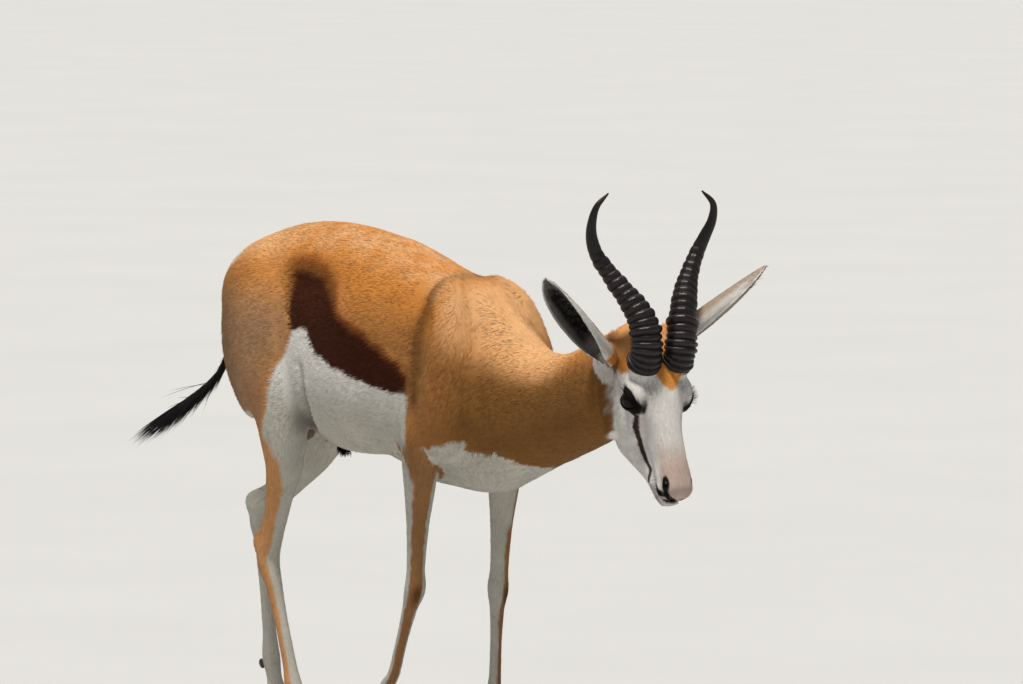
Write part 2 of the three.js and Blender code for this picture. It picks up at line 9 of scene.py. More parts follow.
import bmesh
import bpy
import numpy as np
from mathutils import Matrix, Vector


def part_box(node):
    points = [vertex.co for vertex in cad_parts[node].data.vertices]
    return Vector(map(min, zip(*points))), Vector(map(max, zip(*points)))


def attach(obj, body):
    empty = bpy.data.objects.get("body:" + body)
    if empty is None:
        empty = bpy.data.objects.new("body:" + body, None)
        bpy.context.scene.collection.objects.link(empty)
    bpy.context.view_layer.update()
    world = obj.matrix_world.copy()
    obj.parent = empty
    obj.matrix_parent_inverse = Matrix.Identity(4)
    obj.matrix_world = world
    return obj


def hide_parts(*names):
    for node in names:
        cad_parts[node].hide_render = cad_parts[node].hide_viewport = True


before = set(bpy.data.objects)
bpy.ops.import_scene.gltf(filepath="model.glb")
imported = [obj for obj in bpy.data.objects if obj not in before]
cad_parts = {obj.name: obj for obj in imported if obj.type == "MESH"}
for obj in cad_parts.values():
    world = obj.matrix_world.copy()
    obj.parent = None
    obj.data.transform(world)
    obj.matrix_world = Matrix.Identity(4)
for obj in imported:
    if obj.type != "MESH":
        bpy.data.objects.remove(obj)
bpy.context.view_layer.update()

SEED = 7
rng = np.random.default_rng(SEED)

# Driving sizes, as in the part's source
BACK, BELLY, BRISKET, GIRTH = 787, 436, 397, 116
HEAD_AT = np.array([641.0, -6, 605])
FACE_PITCH, FACE_TURN = math.radians(69), math.radians(-12)
NOSE_X, HEAD_LENGTH = 190, 278
POLL_X = NOSE_X - HEAD_LENGTH
HORN_BASE_R, HORN_RINGS, HORN_RINGED = 22, 18, 0.7
EAR_LENGTH, EAR_THICK = 186, 2.6
EYE_R = 17
EYE_AT = np.array([36, 39.5, -35])
HOOF_H, FETLOCK_H, TOE_REACH = 32, 76, 32
VOXEL = 0.0031
LIMB_OUT = 78  # how far out the legs leave the body
TAIL_HAIRS, LASHES, WHISKERS, BELLY_HAIRS = 3600, 46, 44, 220

# Geometry helpers


def unit(v):
    v = np.asarray(v, float)
    return v / np.maximum(np.linalg.norm(v, axis=-1, keepdims=True), 1e-12)


def ramp(v, a, b):
    t = np.clip((v - a) / (b - a), 0, 1)
    return t * t * (3 - 2 * t)


def bump(v, middle, half):
    t = np.clip(1 - np.abs(v - middle) / half, 0, 1)
    return t**2 * (3 - 2 * t)


def eased(xs, ys, x):
    """A curve through (xs, ys) that never swings past its points."""
    xs, ys, x = (np.asarray(v, float) for v in (xs, ys, x))
    slope = np.diff(ys) / np.diff(xs)
    lean = np.empty(len(xs))
    lean[0], lean[-1] = slope[0], slope[-1]
    a, b = slope[:-1], slope[1:]
    lean[1:-1] = np.where(a * b > 0, 2 * a * b / np.where(a * b > 0, a + b, 1), 0)
    i = np.clip(np.searchsorted(xs, x, side="right") - 1, 0, len(xs) - 2)
    step = xs[i + 1] - xs[i]
    t = np.clip((x - xs[i]) / step, 0, 1)
    t2, t3 = t * t, t * t * t
    return (
        (2 * t3 - 3 * t2 + 1) * ys[i]
        + (t3 - 2 * t2 + t) * step * lean[i]
        + (3 * t2 - 2 * t3) * ys[i + 1]
        + (t3 - t2) * step * lean[i + 1]
    )


def table(*rows):
    return np.array(rows, float)


def curve(line, x):
    """The height at x of a broken line whose rows start [x, height]."""
    return np.interp(x, line[:, 0], line[:, 1])


def all_over(value, p):
    return np.tile(value, (len(p), 1))


def run_of(points, power=1):
    """How far each point lies along a path, from 0, by its steps' lengths raised to a power."""
    return np.concatenate([[0], np.cumsum(np.linalg.norm(np.diff(points, axis=0), axis=1) ** power)])


def circle(count):
    return np.linspace(0, 2 * math.pi, count, endpoint=False)


def spin(axis, angle):
    """A turn about Y, which pitches, or about Z."""
    c, s = math.cos(angle), math.sin(angle)
    rows = {"y": [[c, 0, s], [0, 1, 0], [-s, 0, c]], "z": [[c, -s, 0], [s, c, 0], [0, 0, 1]]}
    return np.array(rows[axis])


HEAD_TURN = spin("z", FACE_TURN) @ spin("y", FACE_PITCH)


def from_head(p):
    return np.asarray(p, float) @ HEAD_TURN.T + HEAD_AT


def to_head(p):
    return (np.asarray(p, float) - HEAD_AT) @ HEAD_TURN


EYE_LOW, EYE_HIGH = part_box("eye_left")
SHIFT = np.array((EYE_LOW + EYE_HIGH) / 2) * 1000 - from_head(EYE_AT)


def to_row(p):
    return (np.asarray(p, float) + SHIFT) / 1000


def from_row(p):
    return np.asarray(p, float) * 1000 - SHIFT


def link(name, data):
    ob = bpy.data.objects.new(name, data)
    bpy.context.collection.objects.link(ob)
    return ob


class Shape:
    """Closed surfaces gathered as points and faces."""

    def __init__(self):
        self.points, self.faces, self.count = [], [], 0

    def add(self, points, faces):
        self.points.append(np.asarray(points, float))
        self.faces += [[i + self.count for i in f] for f in faces]
        self.count += len(points)

    def skin_over(self, rows, start, end):
        """Rows of points, each a closed loop of the same count. Each end closes on a point."""
        n, sides = rows.shape[:2]
        faces = []
        for k in range(sides):
            j = (k + 1) % sides
            faces.append((0, 1 + k, 1 + j))
            last = 1 + (n - 1) * sides
            faces.append((n * sides + 1, last + j, last + k))
            for r in range(n - 1):
                a = 1 + r * sides
                faces.append((a + k, a + sides + k, a + sides + j, a + j))
        self.add(np.concatenate([[start], rows.reshape(-1, 3), [end]]), faces)

    def sweep(self, stations, sides=48, between=5, peak=2.0, full=2.0, grow=0.0, upright=False, place=None):
        rows, start, end = sweep_rows(stations, sides, between, peak, full, grow, upright)
        if place:
            rows, start, end = place(rows), place(start), place(end)
        self.skin_over(rows, start, end)

    def ball(self, centre, radii, grow=0.0, pitch=0.0, place=None, detail=32):
        ring, turn = np.linspace(0, math.pi, detail // 2)[1:-1], circle(detail)
        flat, tall = np.sin(ring)[:, None], np.cos(ring)[:, None]
        rows = np.stack(np.broadcast_arrays(flat * np.cos(turn), flat * np.sin(turn), tall), -1)
        size, tilt = np.asarray(radii, float) + grow, spin("y", math.radians(pitch))
        put = lambda p: (p * size) @ tilt.T + np.asarray(centre, float)
        parts = [put(p) for p in (rows, np.array([0, 0, 1.0]), np.array([0, 0, -1.0]))]
        self.skin_over(*(map(place, parts) if place else parts))

    def mesh(self, name):
        me = bpy.data.meshes.new(name)
        me.from_pydata(to_row(np.concatenate(self.points)).tolist(), [], self.faces)
        me.update()
        bm = bmesh.new()
        bm.from_mesh(me)
        bmesh.ops.recalc_face_normals(bm, faces=bm.faces)
        bm.to_mesh(me)
        bm.free()
        return link(name, me)


def sweep_rows(stations, sides, between, peak, full, grow, upright):
    st = np.asarray(stations, float)
    run = run_of(st[:, :3])
    field = lambda k, s: eased(run, st[:, k], s)
    centre = lambda s: np.stack([field(k, s) for k in range(3)], -1)
    s = np.interp(np.arange((len(run) - 1) * (between + 1) + 1) / (between + 1), np.arange(len(run)), run)
    probe = min(run[-1] * 0.01, 4)
    if upright:
        ahead = all_over([1.0, 0, 0], s)
    else:
        ahead = unit(centre(np.minimum(s + probe, run[-1])) - centre(np.maximum(s - probe, 0)))
    across = unit(np.array([0, 1.0, 0]) - ahead * ahead[:, 1:2])
    up = np.cross(ahead, across)
    angle = circle(sides)
    c, w = np.cos(angle), np.sin(angle)
    power = np.where(c > 0, peak, full)
    bent = lambda v: np.sign(v) * np.abs(v) ** (2 / power)
    side = np.maximum(field(3, s) + grow, 0.5)[:, None] * bent(w)
    above, below = (np.maximum(field(k, s) + grow, 0.5)[:, None] for k in (4, 5))
    height = np.where(c > 0, above, below) * bent(c)
    rows = centre(s)[:, None] + across[:, None] * side[..., None] + up[:, None] * height[..., None]
    ends = []
    for at, sign in ((0, -1), (run[-1], 1)):
        reach = max(min(field(3, at), field(4, at)) * 0.35 + grow, 0.3)
        way = unit(centre(min(at + 1, run[-1])) - centre(max(at - 1, 0)))
        ends.append(centre(np.float64(at)) + way * sign * reach)
    return rows, ends[0], ends[1]


# Stations of the body, as in the part's source

# [x, top, bottom, widest height, half-width, lean to the left]
BODY_LINE = table(
    (-345, 700, 650, 676, 16, 0), (-334, 728, 600, 668, 48, 0), (-305, 748, 560, 660, 74, 0),
    (-262, 763, 532, 650, 88, 0), (-205, 779, 508, 630, 90, 0), (-145, BACK, 470, 605, 94, 0),
    (-85, BACK, BELLY + 8, 580, 105, 0), (-25, 781, BELLY, 562, GIRTH - 3, 0),
    (40, 770, BELLY + 2, 556, GIRTH, 0), (105, 752, 422, 556, GIRTH - 3, 0), (165, 730, 402, 556, 106, 0),
    (220, 706, BRISKET, 552, 97, 0), (270, 678, BRISKET, 546, 88, 0), (318, 645, 414, 538, 77, 0),
    (365, 621, 432, 530, 67, -2), (415, 616, 450, 533, 60, -6), (465, 626, 467, 544, 56, -11),
    (515, 644, 484, 560, 54, -17), (562, 660, 502, 578, 46, -22),
)
FORELEGS = {
    1: dict(elbow=(188, 452), knee=(186, 248), fetlock=(178, FETLOCK_H), stance=64, tip=0),
    -1: dict(elbow=(178, 456), knee=(146, 252), fetlock=(80, FETLOCK_H), stance=63, tip=0),
}
HINDLEGS = {
    1: dict(stifle=(-186, 472), hock=(-384, 312), fetlock=(-358, 97), stance=64, tip=52),
    -1: dict(stifle=(-110, 494), hock=(-204, 270), fetlock=(-142, FETLOCK_H), stance=62, tip=0),
}
SIDES = {1: "left", -1: "right"}
FORE_NAMES, HIND_NAMES = ({s: f"{leg}_{side}" for s, side in SIDES.items()} for leg in ("foreleg", "hindleg"))


def body_stations():
    return [(x, lean, wide, half, top - wide, wide - low) for x, top, low, wide, half, lean in BODY_LINE]


def between(a, b, t):
    return a[0] + (b[0] - a[0]) * t, a[1] + (b[1] - a[1]) * t


def coronet_of(leg):
    x = leg["fetlock"][0]
    if not leg["tip"]:
        return x + 34, HOOF_H
    turn = math.radians(leg["tip"])
    return x + 12, HOOF_H * math.cos(turn) + TOE_REACH * math.sin(turn) - 2


def foot_stations(leg):
    f, c, y = leg["fetlock"], coronet_of(leg), leg["stance"]
    p = between(f, c, 0.5)
    return [
        (f[0], y, f[1] + 20, 12.5, 12, 15),
        (f[0], y, f[1], 15.5, 14, 18),
        (p[0], y, p[1], 14, 12, 13),
        (c[0] - 1, y, c[1] + 7, 18, 14, 15),
        (c[0], y, c[1] + 1, 20, 16, 16),
    ]


def on_limb(stance, a, b, rows):
    """Stations from joint a to b. A row: share of the way, share outwards, shifts in X and Z, radii."""
    out = []
    for t, aside, dx, dz, *size in rows:
        x, z = between(a, b, t)
        out.append((x + dx, LIMB_OUT + (stance - LIMB_OUT) * aside, z + dz, *size))
    return out


def foreleg_stations(leg):
    elbow, knee, fetlock, stance = (leg[k] for k in ("elbow", "knee", "fetlock", "stance"))
    lift = (elbow[0] - 186) * 0.4
    shoulder = [
        (204, 36, 712, 9, 16, 22), (212 + lift, 56, 678, 21, 38, 48), (230 + lift, 71, 630, 28, 47, 62),
        (243 + lift, 80, 575, 33, 56, 68), (242 + lift, 82, 520, 36, 58, 66),
        (elbow[0] + 14, 79, 482, 34, 46, 52),
    ]
    arm = [
        (0, 0.1, 0, -12, 28, 34, 38), (0.25, 0.3, 0, -8, 23, 26, 28), (0.58, 0.6, 0, 0, 18, 18, 19),
        (0.86, 0.85, 0, 0, 16, 15.5, 15), (1, 1, 0, 0, 18.5, 17.5, 17),
    ]
    shank = [(0.2, 1, 0, 0, 13, 11, 13.5), (0.5, 1, 0, 0, 10.5, 9.5, 12), (0.76, 1, 0, 0, 11, 9.5, 12)]
    upper, lower = on_limb(stance, elbow, knee, arm), on_limb(stance, knee, fetlock, shank)
    return shoulder + upper + lower + foot_stations(leg)


def hindleg_stations(leg):
    stifle, hock, fetlock, stance = (leg[k] for k in ("stifle", "hock", "fetlock", "stance"))
    swing = (stifle[0] + 118) * 0.4
    thigh = [
        (-222, 42, 744, 12, 26, 34), (-221, 57, 708, 25, 54, 70), (-217 + swing * 0.3, 68, 656, 34, 76, 92),
        (-208 + swing * 0.5, 74, 602, 37, 86, 94), (-188 + swing * 0.8, 77, 550, 37, 80, 84),
        (stifle[0] - 46, 77, stifle[1] + 14, 34, 64, 62),
    ]
    shin = [
        (0.32, 0.25, -10, 6, 27, 37, 44), (0.6, 0.55, -3, 0, 19.5, 22, 31),
        (0.84, 0.85, 0, 0, 15.5, 16, 24), (1, 1, 0, 0, 17.5, 18, 24),
    ]
    shank = [(0.2, 1, 0, 0, 14, 14, 17), (0.5, 1, 0, 0, 11.5, 11.5, 13.5), (0.8, 1, 0, 0, 12, 11.5, 14)]
    upper, lower = on_limb(stance, stifle, hock, shin), on_limb(stance, hock, fetlock, shank)
    fall, slope = unit(np.subtract(hock, stifle))
    heel = [(1, 1, 4, -12, 11, 12, 12), (1, 1, -20, 12, 10, 11, 11), (1, 1, -28, 26, 9, 9, 24)]
    tendon = [(0.84, 0.85, 31, 6.5, 6, 25), (0.6, 0.55, 25, 10, 9, 16), (0.32, 0.25, 16, 16, 16, 16)]
    heel += [(t, aside, off * slope, -off * fall, *size) for t, aside, off, *size in tendon]
    return thigh + upper + lower + foot_stations(leg)[1:], on_limb(stance, stifle, hock, heel)


FACE_STATIONS = [
    (POLL_X, 0, -74, 14, 16, 22), (POLL_X + 10, 0, -68, 27, 32, 34), (POLL_X + 26, 0, -60, 37, 42, 44),
    (-34, 0, -50, 43, 43, 52), (5, 0, -46, 45, 45, 56), (36, 0, -42, 42, 41, 58), (66, 0, -38, 32, 35, 56),
    (98, 0, -34, 24.5, 31, 44), (130, 0, -30, 23.5, 27, 33), (158, 0, -29, 26, 25, 25),
    (178, 0, -28, 25, 22, 21), (NOSE_X - 2, 0, -27, 16, 14, 14),
]
JAW_STATIONS = [
    (2, 0, -94, 31, 22, 29), (38, 0, -98, 41, 30, 40), (78, 0, -94, 38, 30, 46), (116, 0, -80, 28, 24, 35),
    (150, 0, -65, 21, 15, 20), (176, 0, -56, 20, 11, 15), (190, 0, -53, 15, 7, 10),
]
TAIL_PATH = table(
    (-322, 0, 720), (-344, 1, 688), (-359, 2, 642), (-372, 2, 592),
    (-391, -4, 547), (-420, -18, 514), (-446, -32, 495),
)
TAIL_WAYS = np.gradient(TAIL_PATH, axis=0)
TAIL_RADII = [17, 14, 9.5, 7.5, 6.5, 7, 5]

# How far the skin lies under the coat's outside
TRUNK_COAT, LEG_COAT, HEAD_COAT, TAIL_COAT = 2.2, 1.6, 1.2, 2.5


def flesh():
    """Every soft form under the coat, overlapping, before they become one skin."""
    body = Shape()
    body.sweep(body_stations(), sides=96, peak=1.85, full=2.15, grow=-TRUNK_COAT, upright=True)
    body.ball((-124, 0, BELLY + 22), (32, 9, 12), -1.5, 12)
    body.ball((-192, 0, 478), (20, 21, 32), -1.5)
    for s in (1, -1):
        leg = dict(grow=-LEG_COAT, place=lambda p, s=s: np.asarray(p) * [1, s, 1])
        body.sweep(foreleg_stations(FORELEGS[s]), peak=1.85, full=1.85, **leg)
        main, heel = hindleg_stations(HINDLEGS[s])
        body.sweep(main, full=1.8, **leg)
        body.sweep(heel, **leg)
    head = dict(grow=-HEAD_COAT, place=from_head)
    body.sweep(FACE_STATIONS, peak=2.3, full=2.1, upright=True, **head)
    body.sweep(JAW_STATIONS, peak=2.2, full=2.1, upright=True, **head)
    for s in (1, -1):
        body.ball((EYE_AT[0] - 5, s * 37.5, -30), (29, 17, 24), pitch=10, **head)
        body.ball((46, s * 28, -80), (46, 16, 40), pitch=20, **head)
        body.ball((-8, s * 27, -14), (26, 22, 20), **head)
        body.ball((-42, s * 33, -56), (22, 19, 24), **head)
        body.ball((170, s * 15, -33), (17, 12, 16), **head)
        root = EAR_AT[s] + EAR_ALONG[s] * 14
        body.ball(root * [1, s, 1], (15, 14, 17), **head)
    radii = np.array(TAIL_RADII) - TAIL_COAT * 0.6
    body.sweep([(*p, r, r * 0.8, r * 0.8) for p, r in zip(TAIL_PATH, radii)], sides=24)
    return body


# Ears: a leaf rolled into a tube at its root, opening towards its tip

EAR_AT = {1: np.array([-62.0, 36, -58]), -1: np.array([-39.0, 41, -62])}
EAR_ALONG = {1: unit([-76, 142, 92]), -1: unit([-92, 134, 82])}
# [share of the length, radius, half-angle in degrees]
EAR_ROLL = table(
    (0, 13, 172), (0.12, 15, 158), (0.28, 19, 128), (0.45, 21.5, 108), (0.62, 22.5, 94), (0.78, 21, 82),
    (0.9, 16.5, 70), (0.97, 9.5, 60), (1, 3.5, 55),
)


def ear_roll(share):
    share_of, radius, half = EAR_ROLL.T
    return eased(share_of, radius, share), np.radians(eased(share_of, half, share))


def ear_axes(s):
    along = EAR_ALONG[s]
    facing = np.array([0.8, 0.7, 0.25])
    facing = unit(facing - along * (facing @ along))
    return along, facing, np.cross(along, facing)


def ear_place(s, share, angle, radius):
    """Points of the head's frame on an ear, at a share of its length, an angle of its roll and a radius."""
    along, facing, wide = ear_axes(s)
    share, angle, radius = np.broadcast_arrays(share, angle, radius)
    r = ear_roll(share)[0]
    middle = EAR_AT[s] + along * (share * EAR_LENGTH)[..., None] + facing * (r * 0.85)[..., None]
    p = middle - facing * (radius * np.cos(angle))[..., None] + wide * (radius * np.sin(angle))[..., None]
    return p * [1, s, 1]


def ear_measure(s, p):
    """Share of the length, angle of the roll in units of its half-angle, and depth inside the outer face."""
    along, facing, wide = ear_axes(s)
    q = p * [1, s, 1] - EAR_AT[s]
    share = q @ along / EAR_LENGTH
    r, half = ear_roll(np.clip(share, 0, 1))
    a, b = -(q @ facing - r * 0.85), q @ wide
    return share, np.arctan2(b, a) / half, r - np.hypot(a, b)


def on_ear(s, h, root, low, high):
    """Which points lie on an ear, past a share of its length and between two depths, and their measures."""
    share, across, depth = ear_measure(s, h)
    return (s * h[:, 1] > 30) & (share > root) & (depth > low) & (depth < high), share, across, depth


def ear_shape(s):
    shares = np.concatenate([np.linspace(0.02, 0.9, 52), np.linspace(0.915, 0.997, 14)])
    across = np.linspace(-1, 1, 41)
    r, half = (v[:, None] for v in ear_roll(shares))
    thick = np.minimum(EAR_THICK * (0.35 + 0.65 * (1 - across**6))[None], r * 0.45)
    outer = ear_place(s, shares[:, None], across * half, r - 0.3)
    inner = ear_place(s, shares[:, None], across[::-1] * half * 0.985, r - thick)
    rows = from_head(np.concatenate([outer, inner], axis=1))
    ear = Shape()
    ear.skin_over(rows, rows[0].mean(0), rows[-1].mean(0))
    return ear


# Turning the forms into one skin


def read(items, field, width, kind=float):
    """One field of a mesh's vertices, edges or triangles, as rows."""
    out = np.empty(len(items) * width, kind)
    items.foreach_get(field, out)
    return out.reshape(-1, width)


def points_of(me):
    return from_row(read(me.vertices, "co", 3))


def normals_of(me):
    return read(me.vertices, "normal", 3)


def edges_of(me):
    return read(me.edges, "vertices", 2, np.int64)


def put_points(me, p):
    me.vertices.foreach_set("co", to_row(p).ravel())
    me.update()


def smoothed(co, edges, weight, rounds, keep=0.0):
    """Points moved towards the mean of their neighbours. keep gives back some of each round's shrinking."""
    a, b = edges.T
    n = len(co)
    count = np.maximum(np.bincount(np.concatenate([a, b]), minlength=n), 1)[:, None]
    for pull in [0.5, -0.5 * keep][: 2 if keep else 1] * rounds:
        total = [np.bincount(a, v[b], minlength=n) + np.bincount(b, v[a], minlength=n) for v in co.T]
        co = co + (np.stack(total, -1) / count - co) * (weight * pull)[:, None]
    return co


def active(ob):
    bpy.ops.object.select_all(action="DESELECT")
    ob.select_set(True)
    bpy.context.view_layer.objects.active = ob


def subdivide_where(ob, near):
    bm = bmesh.new()
    bm.from_mesh(ob.data)
    bm.verts.ensure_lookup_table()
    edges = [e for e in bm.edges if near[e.verts[0].index] and near[e.verts[1].index]]
    bmesh.ops.subdivide_edges(bm, edges=edges, cuts=1, use_grid_fill=True)
    bm.to_mesh(ob.data)
    bm.free()
    ob.data.update()


def softness(p):
    """How strongly the skin is smoothed: much on the trunk, little on legs and head."""
    hx, _, hz = to_head(p).T
    trunk = ramp(p[:, 2], 455, 540) * (1 - ramp(p[:, 0], 430, 500)) * ramp(p[:, 0], -335, -300)
    nape = bump(hx, -55, 40) * (1 - ramp(hz, -70, -30)) * 0.3
    cheek = ramp(hx, 45, 70) * (1 - ramp(hx, 130, 150)) * ramp(-hz, 38, 52) * (p[:, 0] > 560) * 0.22
    return np.clip(np.maximum.reduce([trunk, nape, cheek]), 0.04, 1)


# Folds of the near side, [x, z], with the width and depth of each in mm
FOLDS = [
    (table((208, 655), (206, 615), (205, 575)), 14, 5),
    (table((285, 640), (290, 590)), 12, 4),
    (table((-78, 573), (-77, 554), (-76, 533), (-76, 510), (-83, 483)), 8, 9),
]


def relief(p, n):
    """How far the skin stands out, in mm: hollow flank, full belly, and the folds of shoulder and thigh."""
    x, y, z = p.T
    oval = lambda cx, cz, rx, rz: np.exp(-(((x - cx) / rx) ** 2) - ((z - cz) / rz) ** 2)
    out = -11 * oval(-70, 700, 75, 28) + 6 * oval(60, 640, 90, 45) + 4 * oval(245, 650, 22, 50)
    for i, (line, wide, deep) in enumerate(FOLDS):
        shift = np.where(y > 0, -60 * (i == 2), 0)
        far = nearest_on(line, np.stack([x - shift, z], -1))[0]
        out -= deep * np.exp(-((far / wide) ** 2))
    withers = 6 * np.exp(-(((x - 222) / 48) ** 2)) * ramp(n[:, 2], 0.2, 0.8) * (z > 600)
    return out * ramp(np.abs(y), 30, 60) * (x < 350) + withers


def on_tail_path(values, where):
    """Rows of values that are given at the tail's stations, at shares of its length."""
    knots = np.linspace(0, 1, len(TAIL_PATH))
    return np.stack([np.interp(where, knots, column) for column in values.T], -1)


def from_eyes(h):
    """Distance to the middle of the nearer eye."""
    return np.minimum(*(np.linalg.norm(h - EYE_AT * [1, s, 1], axis=1) for s in (1, -1)))


def make_skin():
    skin = flesh().mesh("skin")
    skin.data.remesh_voxel_size = VOXEL
    skin.data.use_remesh_fix_poles = False
    active(skin)
    bpy.ops.object.voxel_remesh()
    me = skin.data
    p, edges = points_of(me), edges_of(me)
    p = smoothed(p, edges, np.full(len(p), 1.0), 4, keep=1.03)
    p = smoothed(p, edges, softness(p), 98)
    put_points(me, p)
    p = p + normals_of(me) * relief(p, normals_of(me))[:, None]
    put_points(me, smoothed(p, edges, np.full(len(p), 0.5), 3))
    p = points_of(me)
    hx, _, hz = to_head(p).T
    subdivide_where(skin, (hx > -25) & (hx < 205) & (hz > -120) & (hz < 40) & (p[:, 0] > 540))
    h = to_head(points_of(me))
    subdivide_where(skin, (from_eyes(h) < 31) | (h[:, 0] > 140) & (h[:, 2] > -75))
    sculpt_face(me)
    return skin


def sculpt_face(me):
    h, edges = to_head(points_of(me)), edges_of(me)
    head = (h[:, 0] > -60) & (h[:, 2] < 60)
    h = smoothed(h, edges, head * 0.8, 10, keep=1.0)
    brow = head * bump(h[:, 0], 34, 60) * ramp(h[:, 2], -75, -50)
    h = smoothed(h, edges, brow * 0.8, 22)
    for s in (1, -1):
        h = lids(h, s)
        h = nostril(h, s)
    h = mouth(h)
    h = smoothed(h, edges, ((from_eyes(h) < 34) | (h[:, 0] > 125)) * 0.35, 2)
    put_points(me, from_head(h))


LID_TILT = math.radians(28)
LID_COS, LID_SIN = math.cos(LID_TILT), math.sin(LID_TILT)
LID_HALF, LID_RISE, LID_DROP = 17.5, 10.5, 8.0


def lid_place(h, s):
    """Place round the eye: along the opening, across it, and outwards from the eye's middle."""
    q = h * [1, s, 1] - EYE_AT
    return LID_COS * q[:, 0] + LID_SIN * q[:, 2], -LID_SIN * q[:, 0] + LID_COS * q[:, 2], q[:, 1]


def lid_edge(along, across):
    """Below 0 inside the opening between the lids, in mm, and above 0 outside it."""
    far = np.abs(along)
    arch = (1 - np.clip(far / LID_HALF, 0, 1) ** 2) ** 0.8
    reach = np.where(across > 0, LID_RISE, LID_DROP) * arch
    return np.where(far < LID_HALF, np.abs(across) - reach, np.hypot(far - LID_HALF, across))


def lids(h, s):
    along, across, out = lid_place(h, s)
    round_ = np.hypot(along, across)
    side = (out > -6) & (round_ < 34)
    edge = lid_edge(along, across)
    ball = np.sqrt(np.clip((EYE_R + 1.2) ** 2 - np.minimum(round_, EYE_R) ** 2, 0, None))
    ball = ball - 0.9 * np.clip(round_ - 15, 0, None)
    lid = np.where(round_ < 14, ball, np.logaddexp(ball / 1.5, out / 1.5) * 1.5 - 0.6)
    lid = lid + 0.9 * bump(edge, 1.6, 3.0) - 1.0 * bump(edge, 6.0, 3.0) * (across > 0)
    blend = 1 - ramp(round_, 19, 27)
    target = out * (1 - blend) + lid * blend
    sunk = np.sqrt(np.clip((EYE_R - 3.5) ** 2 - round_**2, 0, None))
    inside = 1 - ramp(edge, -0.9, 0.5)
    target = target * (1 - inside) + (sunk - 1) * inside
    moved = h.copy()
    moved[:, 1] = np.where(side, s * (target + EYE_AT[1]), h[:, 1])
    return moved


NOSTRIL_PATH = table((161, 25.5, -13.5), (169, 22, -17), (178, 17, -22), (187, 11.5, -27), (192, 8, -30))
NOSTRIL_R = [1.2, 2.6, 4.3, 4.2, 2.2]
MOUTH_LINE = table((132, -53), (146, -50), (164, -46.5), (182, -45), (206, -44.6))


def nearest_on(path, p):
    """Distance from each point to a broken line, and the share of the line at the nearest place."""
    best, where = np.full(len(p), 1e9), np.zeros(len(p))
    for i in range(len(path) - 1):
        a, d = path[i], path[i + 1] - path[i]
        t = np.clip((p - a) @ d / (d @ d), 0, 1)
        far = np.linalg.norm(p - a - t[:, None] * d, axis=1)
        closer = far < best
        best = np.where(closer, far, best)
        where = np.where(closer, (i + t) / (len(path) - 1), where)
    return best, where


def nostril(h, s):
    far, where = nearest_on(NOSTRIL_PATH * [1, s, 1], h)
    r = np.interp(where, np.linspace(0, 1, len(NOSTRIL_R)), NOSTRIL_R)
    deep = 1 - ramp(far, r * 0.75, r * 1.25)
    rim = bump(far, r * 1.7, r * 0.8)
    inward = unit(np.array([-0.75, -0.5 * s, -0.25]))
    return h + inward * (deep * 9)[:, None] - inward * (rim * 1.0)[:, None]


def mouth(h):
    x, y, z = h.T
    line = curve(MOUTH_LINE, x)
    along, far = ramp(x, 130, 142), z - line
    groove = np.exp(-((far / 1.3) ** 2)) * along
    lips = (bump(far, 4.2, 4.5) + bump(far, -4.2, 4.5)) * along
    middle = np.stack([np.full(len(h), 150.0), np.zeros(len(h)), line], -1)
    out = unit((h - middle) * [0.6, 1, 0])
    front = (x > 128) & (np.abs(far) < 14)
    cleft = np.exp(-((y / 1.3) ** 2)) * ramp(x, 178, 186) * (far > 0) * (z < -24)
    h = h + out * (front * (lips * 0.9 - groove * 3.6))[:, None]
    return h - np.array([1.0, 0, 0]) * (cleft * 1.6)[:, None]


# Markings, with painted light and shade


def colour(r, g, b):
    c = np.array([r, g, b]) / 255
    return np.where(c <= 0.04045, c / 12.92, ((c + 0.055) / 1.055) ** 2.4)


CINNAMON = colour(206, 132, 60)
TAN = colour(198, 136, 76)
PALE_TAN = colour(196, 156, 116)
# Tan of the neck, darkened as painted shade on its lower side
SHADED_NECK_TAN = colour(121, 83, 42)
CHOCOLATE = colour(46, 10, 2)
# Rufous rim of the flank band; in the hollow before the thigh it also serves as painted shade
RUFOUS_AND_HOLLOW_SHADE = colour(120, 58, 22)
WHITE = colour(222, 219, 213)
# White darkened and greyed as painted shade, for the underside and legs
SHADED_WHITE = colour(186, 182, 170)
# Greyer tan of the thigh, darkened as painted shade on the side
SHADED_THIGH_TAN = colour(156, 122, 92)
# Pale colour of painted highlight, where light falls on the top of the coat
PALE_PAINTED_HIGHLIGHT = colour(222, 172, 122)
GREY = colour(150, 144, 140)
SOOT = colour(17, 14, 13)
FOREHEAD = colour(214, 142, 66)
NOSE_PINK = colour(176, 150, 138)
EAR_BACK = colour(172, 148, 126)
FORELEG_TAN = TAN + (colour(96, 62, 20) - TAN) * 0.62
HINDLEG_TAN = PALE_TAN + (TAN - PALE_TAN) * 0.6

# Edges of the markings and of painted shade on the trunk, [x, z]
BAND_LOW = table((-118, 622), (-62, 628), (-35, 599), (9, 577), (55, 564), (91, 555), (125, 548), (180, 541))
BAND_HIGH = table(
    (-165, 722), (-120, 727), (-94, 726), (-60, 718), (-24, 694), (-5, 675),
    (12, 657), (30, 645), (77, 627), (110, 611), (153, 589), (182, 566),
)
BRISKET_EDGE = table((170, 474), (238, 471), (268, 465), (308, 461), (363, 450), (387, 444), (440, 430))
SHOULDER_SHADE = table((199, 705), (194, 665), (187, 632), (196, 582), (199, 538))
FLANK_TO_SHOULDER = 176
# Front edge of the thigh, [z, x]
THIGH_FRONT = table(
    (270, -196), (332, -174), (394, -173), (439, -178), (467, -171), (503, -151), (546, -143),
    (567, -136), (595, -116), (619, -104), (668, -129), (712, -148), (760, -160),
)


